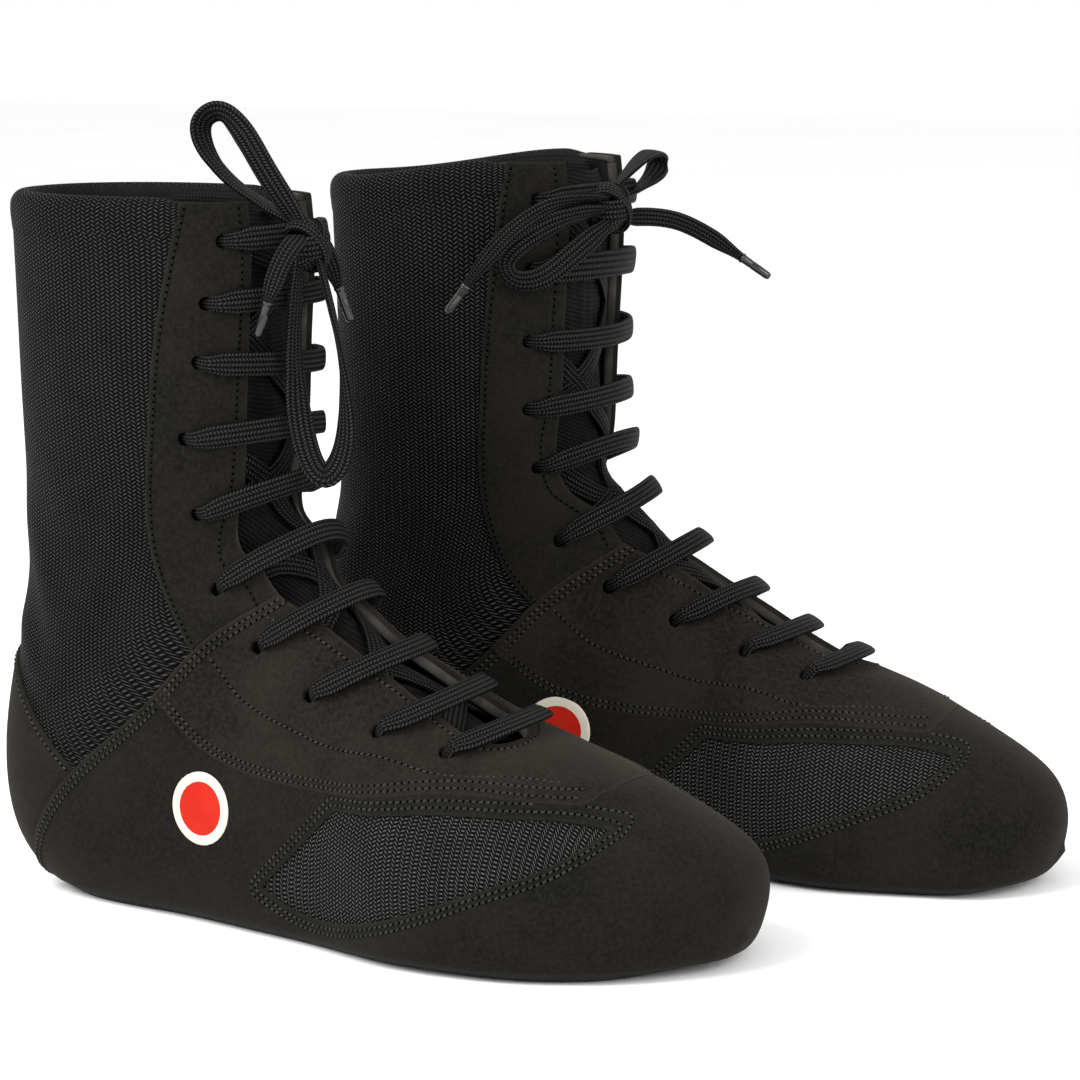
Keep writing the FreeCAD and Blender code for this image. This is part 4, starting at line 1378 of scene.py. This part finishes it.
def make_bow(side):
    """A boot's two loops, two ends with aglets and knot."""
    laces = {}
    for name in ROUTES[side]:
        if name.startswith("tail"):
            laces[name] = ribbon(name, side, 7.0, 0.5, 0.72)
        else:
            laces[name] = ribbon(name, side, 8.8, 0.35, 0.88)
    make_knot(side)
    for name, (lace, path) in laces.items():
        kind, _, end = name.partition("_")
        length = lengths_along(path)[-1]
        if kind == "tail":
            material = TIP_CLEAR if (side, end) == ("left", "outer") else TIP_DARK
            make_tip(f"aglet_{end}", side, path[-1], path[-1] - path[-3], material)


# ---------------------------------------------------------------- emblems

def make_emblems():
    """A plain disc with a pale ring on each side of the heel and at the back of it."""
    patch = skin.copy().keep("base")
    x, y, z = patch.points.T
    gaps = {name: np.hypot(x - middle[0], z - middle[1]) for name, middle in EMBLEM_CENTRES.items()}
    spots = {
        "outer": (13.0, np.where(y < 0, gaps["outer"], 99.0)),
        "inner": (13.0, np.where(y > 0, gaps["inner"], 99.0)),
        "heel": (11.0, np.where(x < -110, np.hypot(y + 1.0, z - HEEL_EMBLEM_HEIGHT), 99.0)),
    }
    for name, (radius, distance) in spots.items():
        ring_width = radius * 0.26
        spot = patch.copy()
        spot.add("gap", radius - distance)
        spot.keep("gap", -6.0).split("gap", ring_width).split("gap", radius * 0.34)
        spot.keep("gap").split("gap", 0.5)
        heights = 1.0 + 0.3 * ease(spot["gap"], 0, 0.5)
        points, faces, _ = walled(spot, heights, np.full(len(heights), 0.8))
        in_ring = spot["gap"][spot.faces].mean(1) < ring_width
        picks = np.concatenate([in_ring, np.ones(len(faces) - len(in_ring))]).astype(int)
        add_pair(
            f"emblem_disc_{name}", points, faces, [RED, CREAM], "emblem", [f"emblem_{name}"], picks=picks,
        )


# ---------------------------------------------------------------- pieces that stay, floor, light and camera

def finish_cad_nodes():
    """Materials for the hard pieces that keep their CAD shape."""
    finishes = {"outsole": RUBBER, "insole_board": BOARD, "heel_counter": STIFFENER, "toe_puff": STIFFENER}
    for side in SIDES:
        for name, material in finishes.items():
            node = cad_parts[f"{side}_{name}"]
            node.data.materials.clear()
            node.data.materials.append(material)


def area_light(name, location, target, size, power):
    light = bpy.data.lights.new(name, "AREA")
    light.shape = "RECTANGLE"
    light.size, light.size_y = size
    light.energy = power
    item = bpy.data.objects.new(name, light)
    item.location = location
    item.rotation_euler = (Vector(target) - Vector(location)).to_track_quat("-Z", "Y").to_euler()
    bpy.context.scene.collection.objects.link(item)


def make_floor(reach=6.0):
    mesh = bpy.data.meshes.new("floor")
    corners = [(-reach, -reach, 0), (reach, -reach, 0), (reach, reach, 0), (-reach, reach, 0)]
    mesh.from_pydata(corners, [], [(0, 1, 2, 3)])
    floor = bpy.data.objects.new("floor", mesh)
    bpy.context.scene.collection.objects.link(floor)
    mesh.materials.append(plain_material("floor_paper", grey(250), grey(252), 60.0, 0.9, 0.02))


def make_light():
    world = bpy.data.worlds.new("studio")
    world.use_nodes = True
    background = world.node_tree.nodes["Background"]
    background.inputs[0].default_value = (1.0, 1.0, 1.0, 1.0)
    background.inputs[1].default_value = 1.0
    bpy.context.scene.world = world
    area_light("key", (-0.9, -1.3, 1.5), (0.0, 0.0, 0.12), (1.2, 1.2), 50)
    area_light("fill", (1.5, -0.6, 0.9), (0.0, 0.0, 0.1), (1.2, 1.0), 19)


def make_camera():
    scene = bpy.context.scene
    camera = bpy.data.cameras.new("camera")
    camera.lens = 134.5
    camera.sensor_width = 36.0
    holder = bpy.data.objects.new("camera", camera)
    holder.location = (0.596, -1.326, 0.346)
    holder.rotation_euler = Vector((-0.4025, 0.9032, -0.148)).to_track_quat("-Z", "Y").to_euler()
    scene.collection.objects.link(holder)
    scene.camera = holder
    scene.view_settings.view_transform = "Standard"


# ---------------------------------------------------------------- the pair

skin = skin_patch()
eyelets = find_eyelets(skin)
to_eyelets = [np.linalg.norm(skin.points - point, axis=1) for point, _ in eyelets.values()]
skin.add("hole", np.min(to_eyelets, axis=0))
stitch_lines = []

uppers = skin.copy().keep("base").keep("top")
make_shaft_mesh(uppers)
make_windows(uppers)
make_vamp(uppers)
make_instep(uppers)
make_heel(uppers)
make_facings(uppers)
make_stitching()
make_lining()
make_tongue_wings()
make_binding()
make_collar()
make_tongue()
make_sock_liner()
make_lace()
for side in SIDES:
    make_bow(side)
make_emblems()
finish_cad_nodes()
make_floor()
make_light()
make_camera()
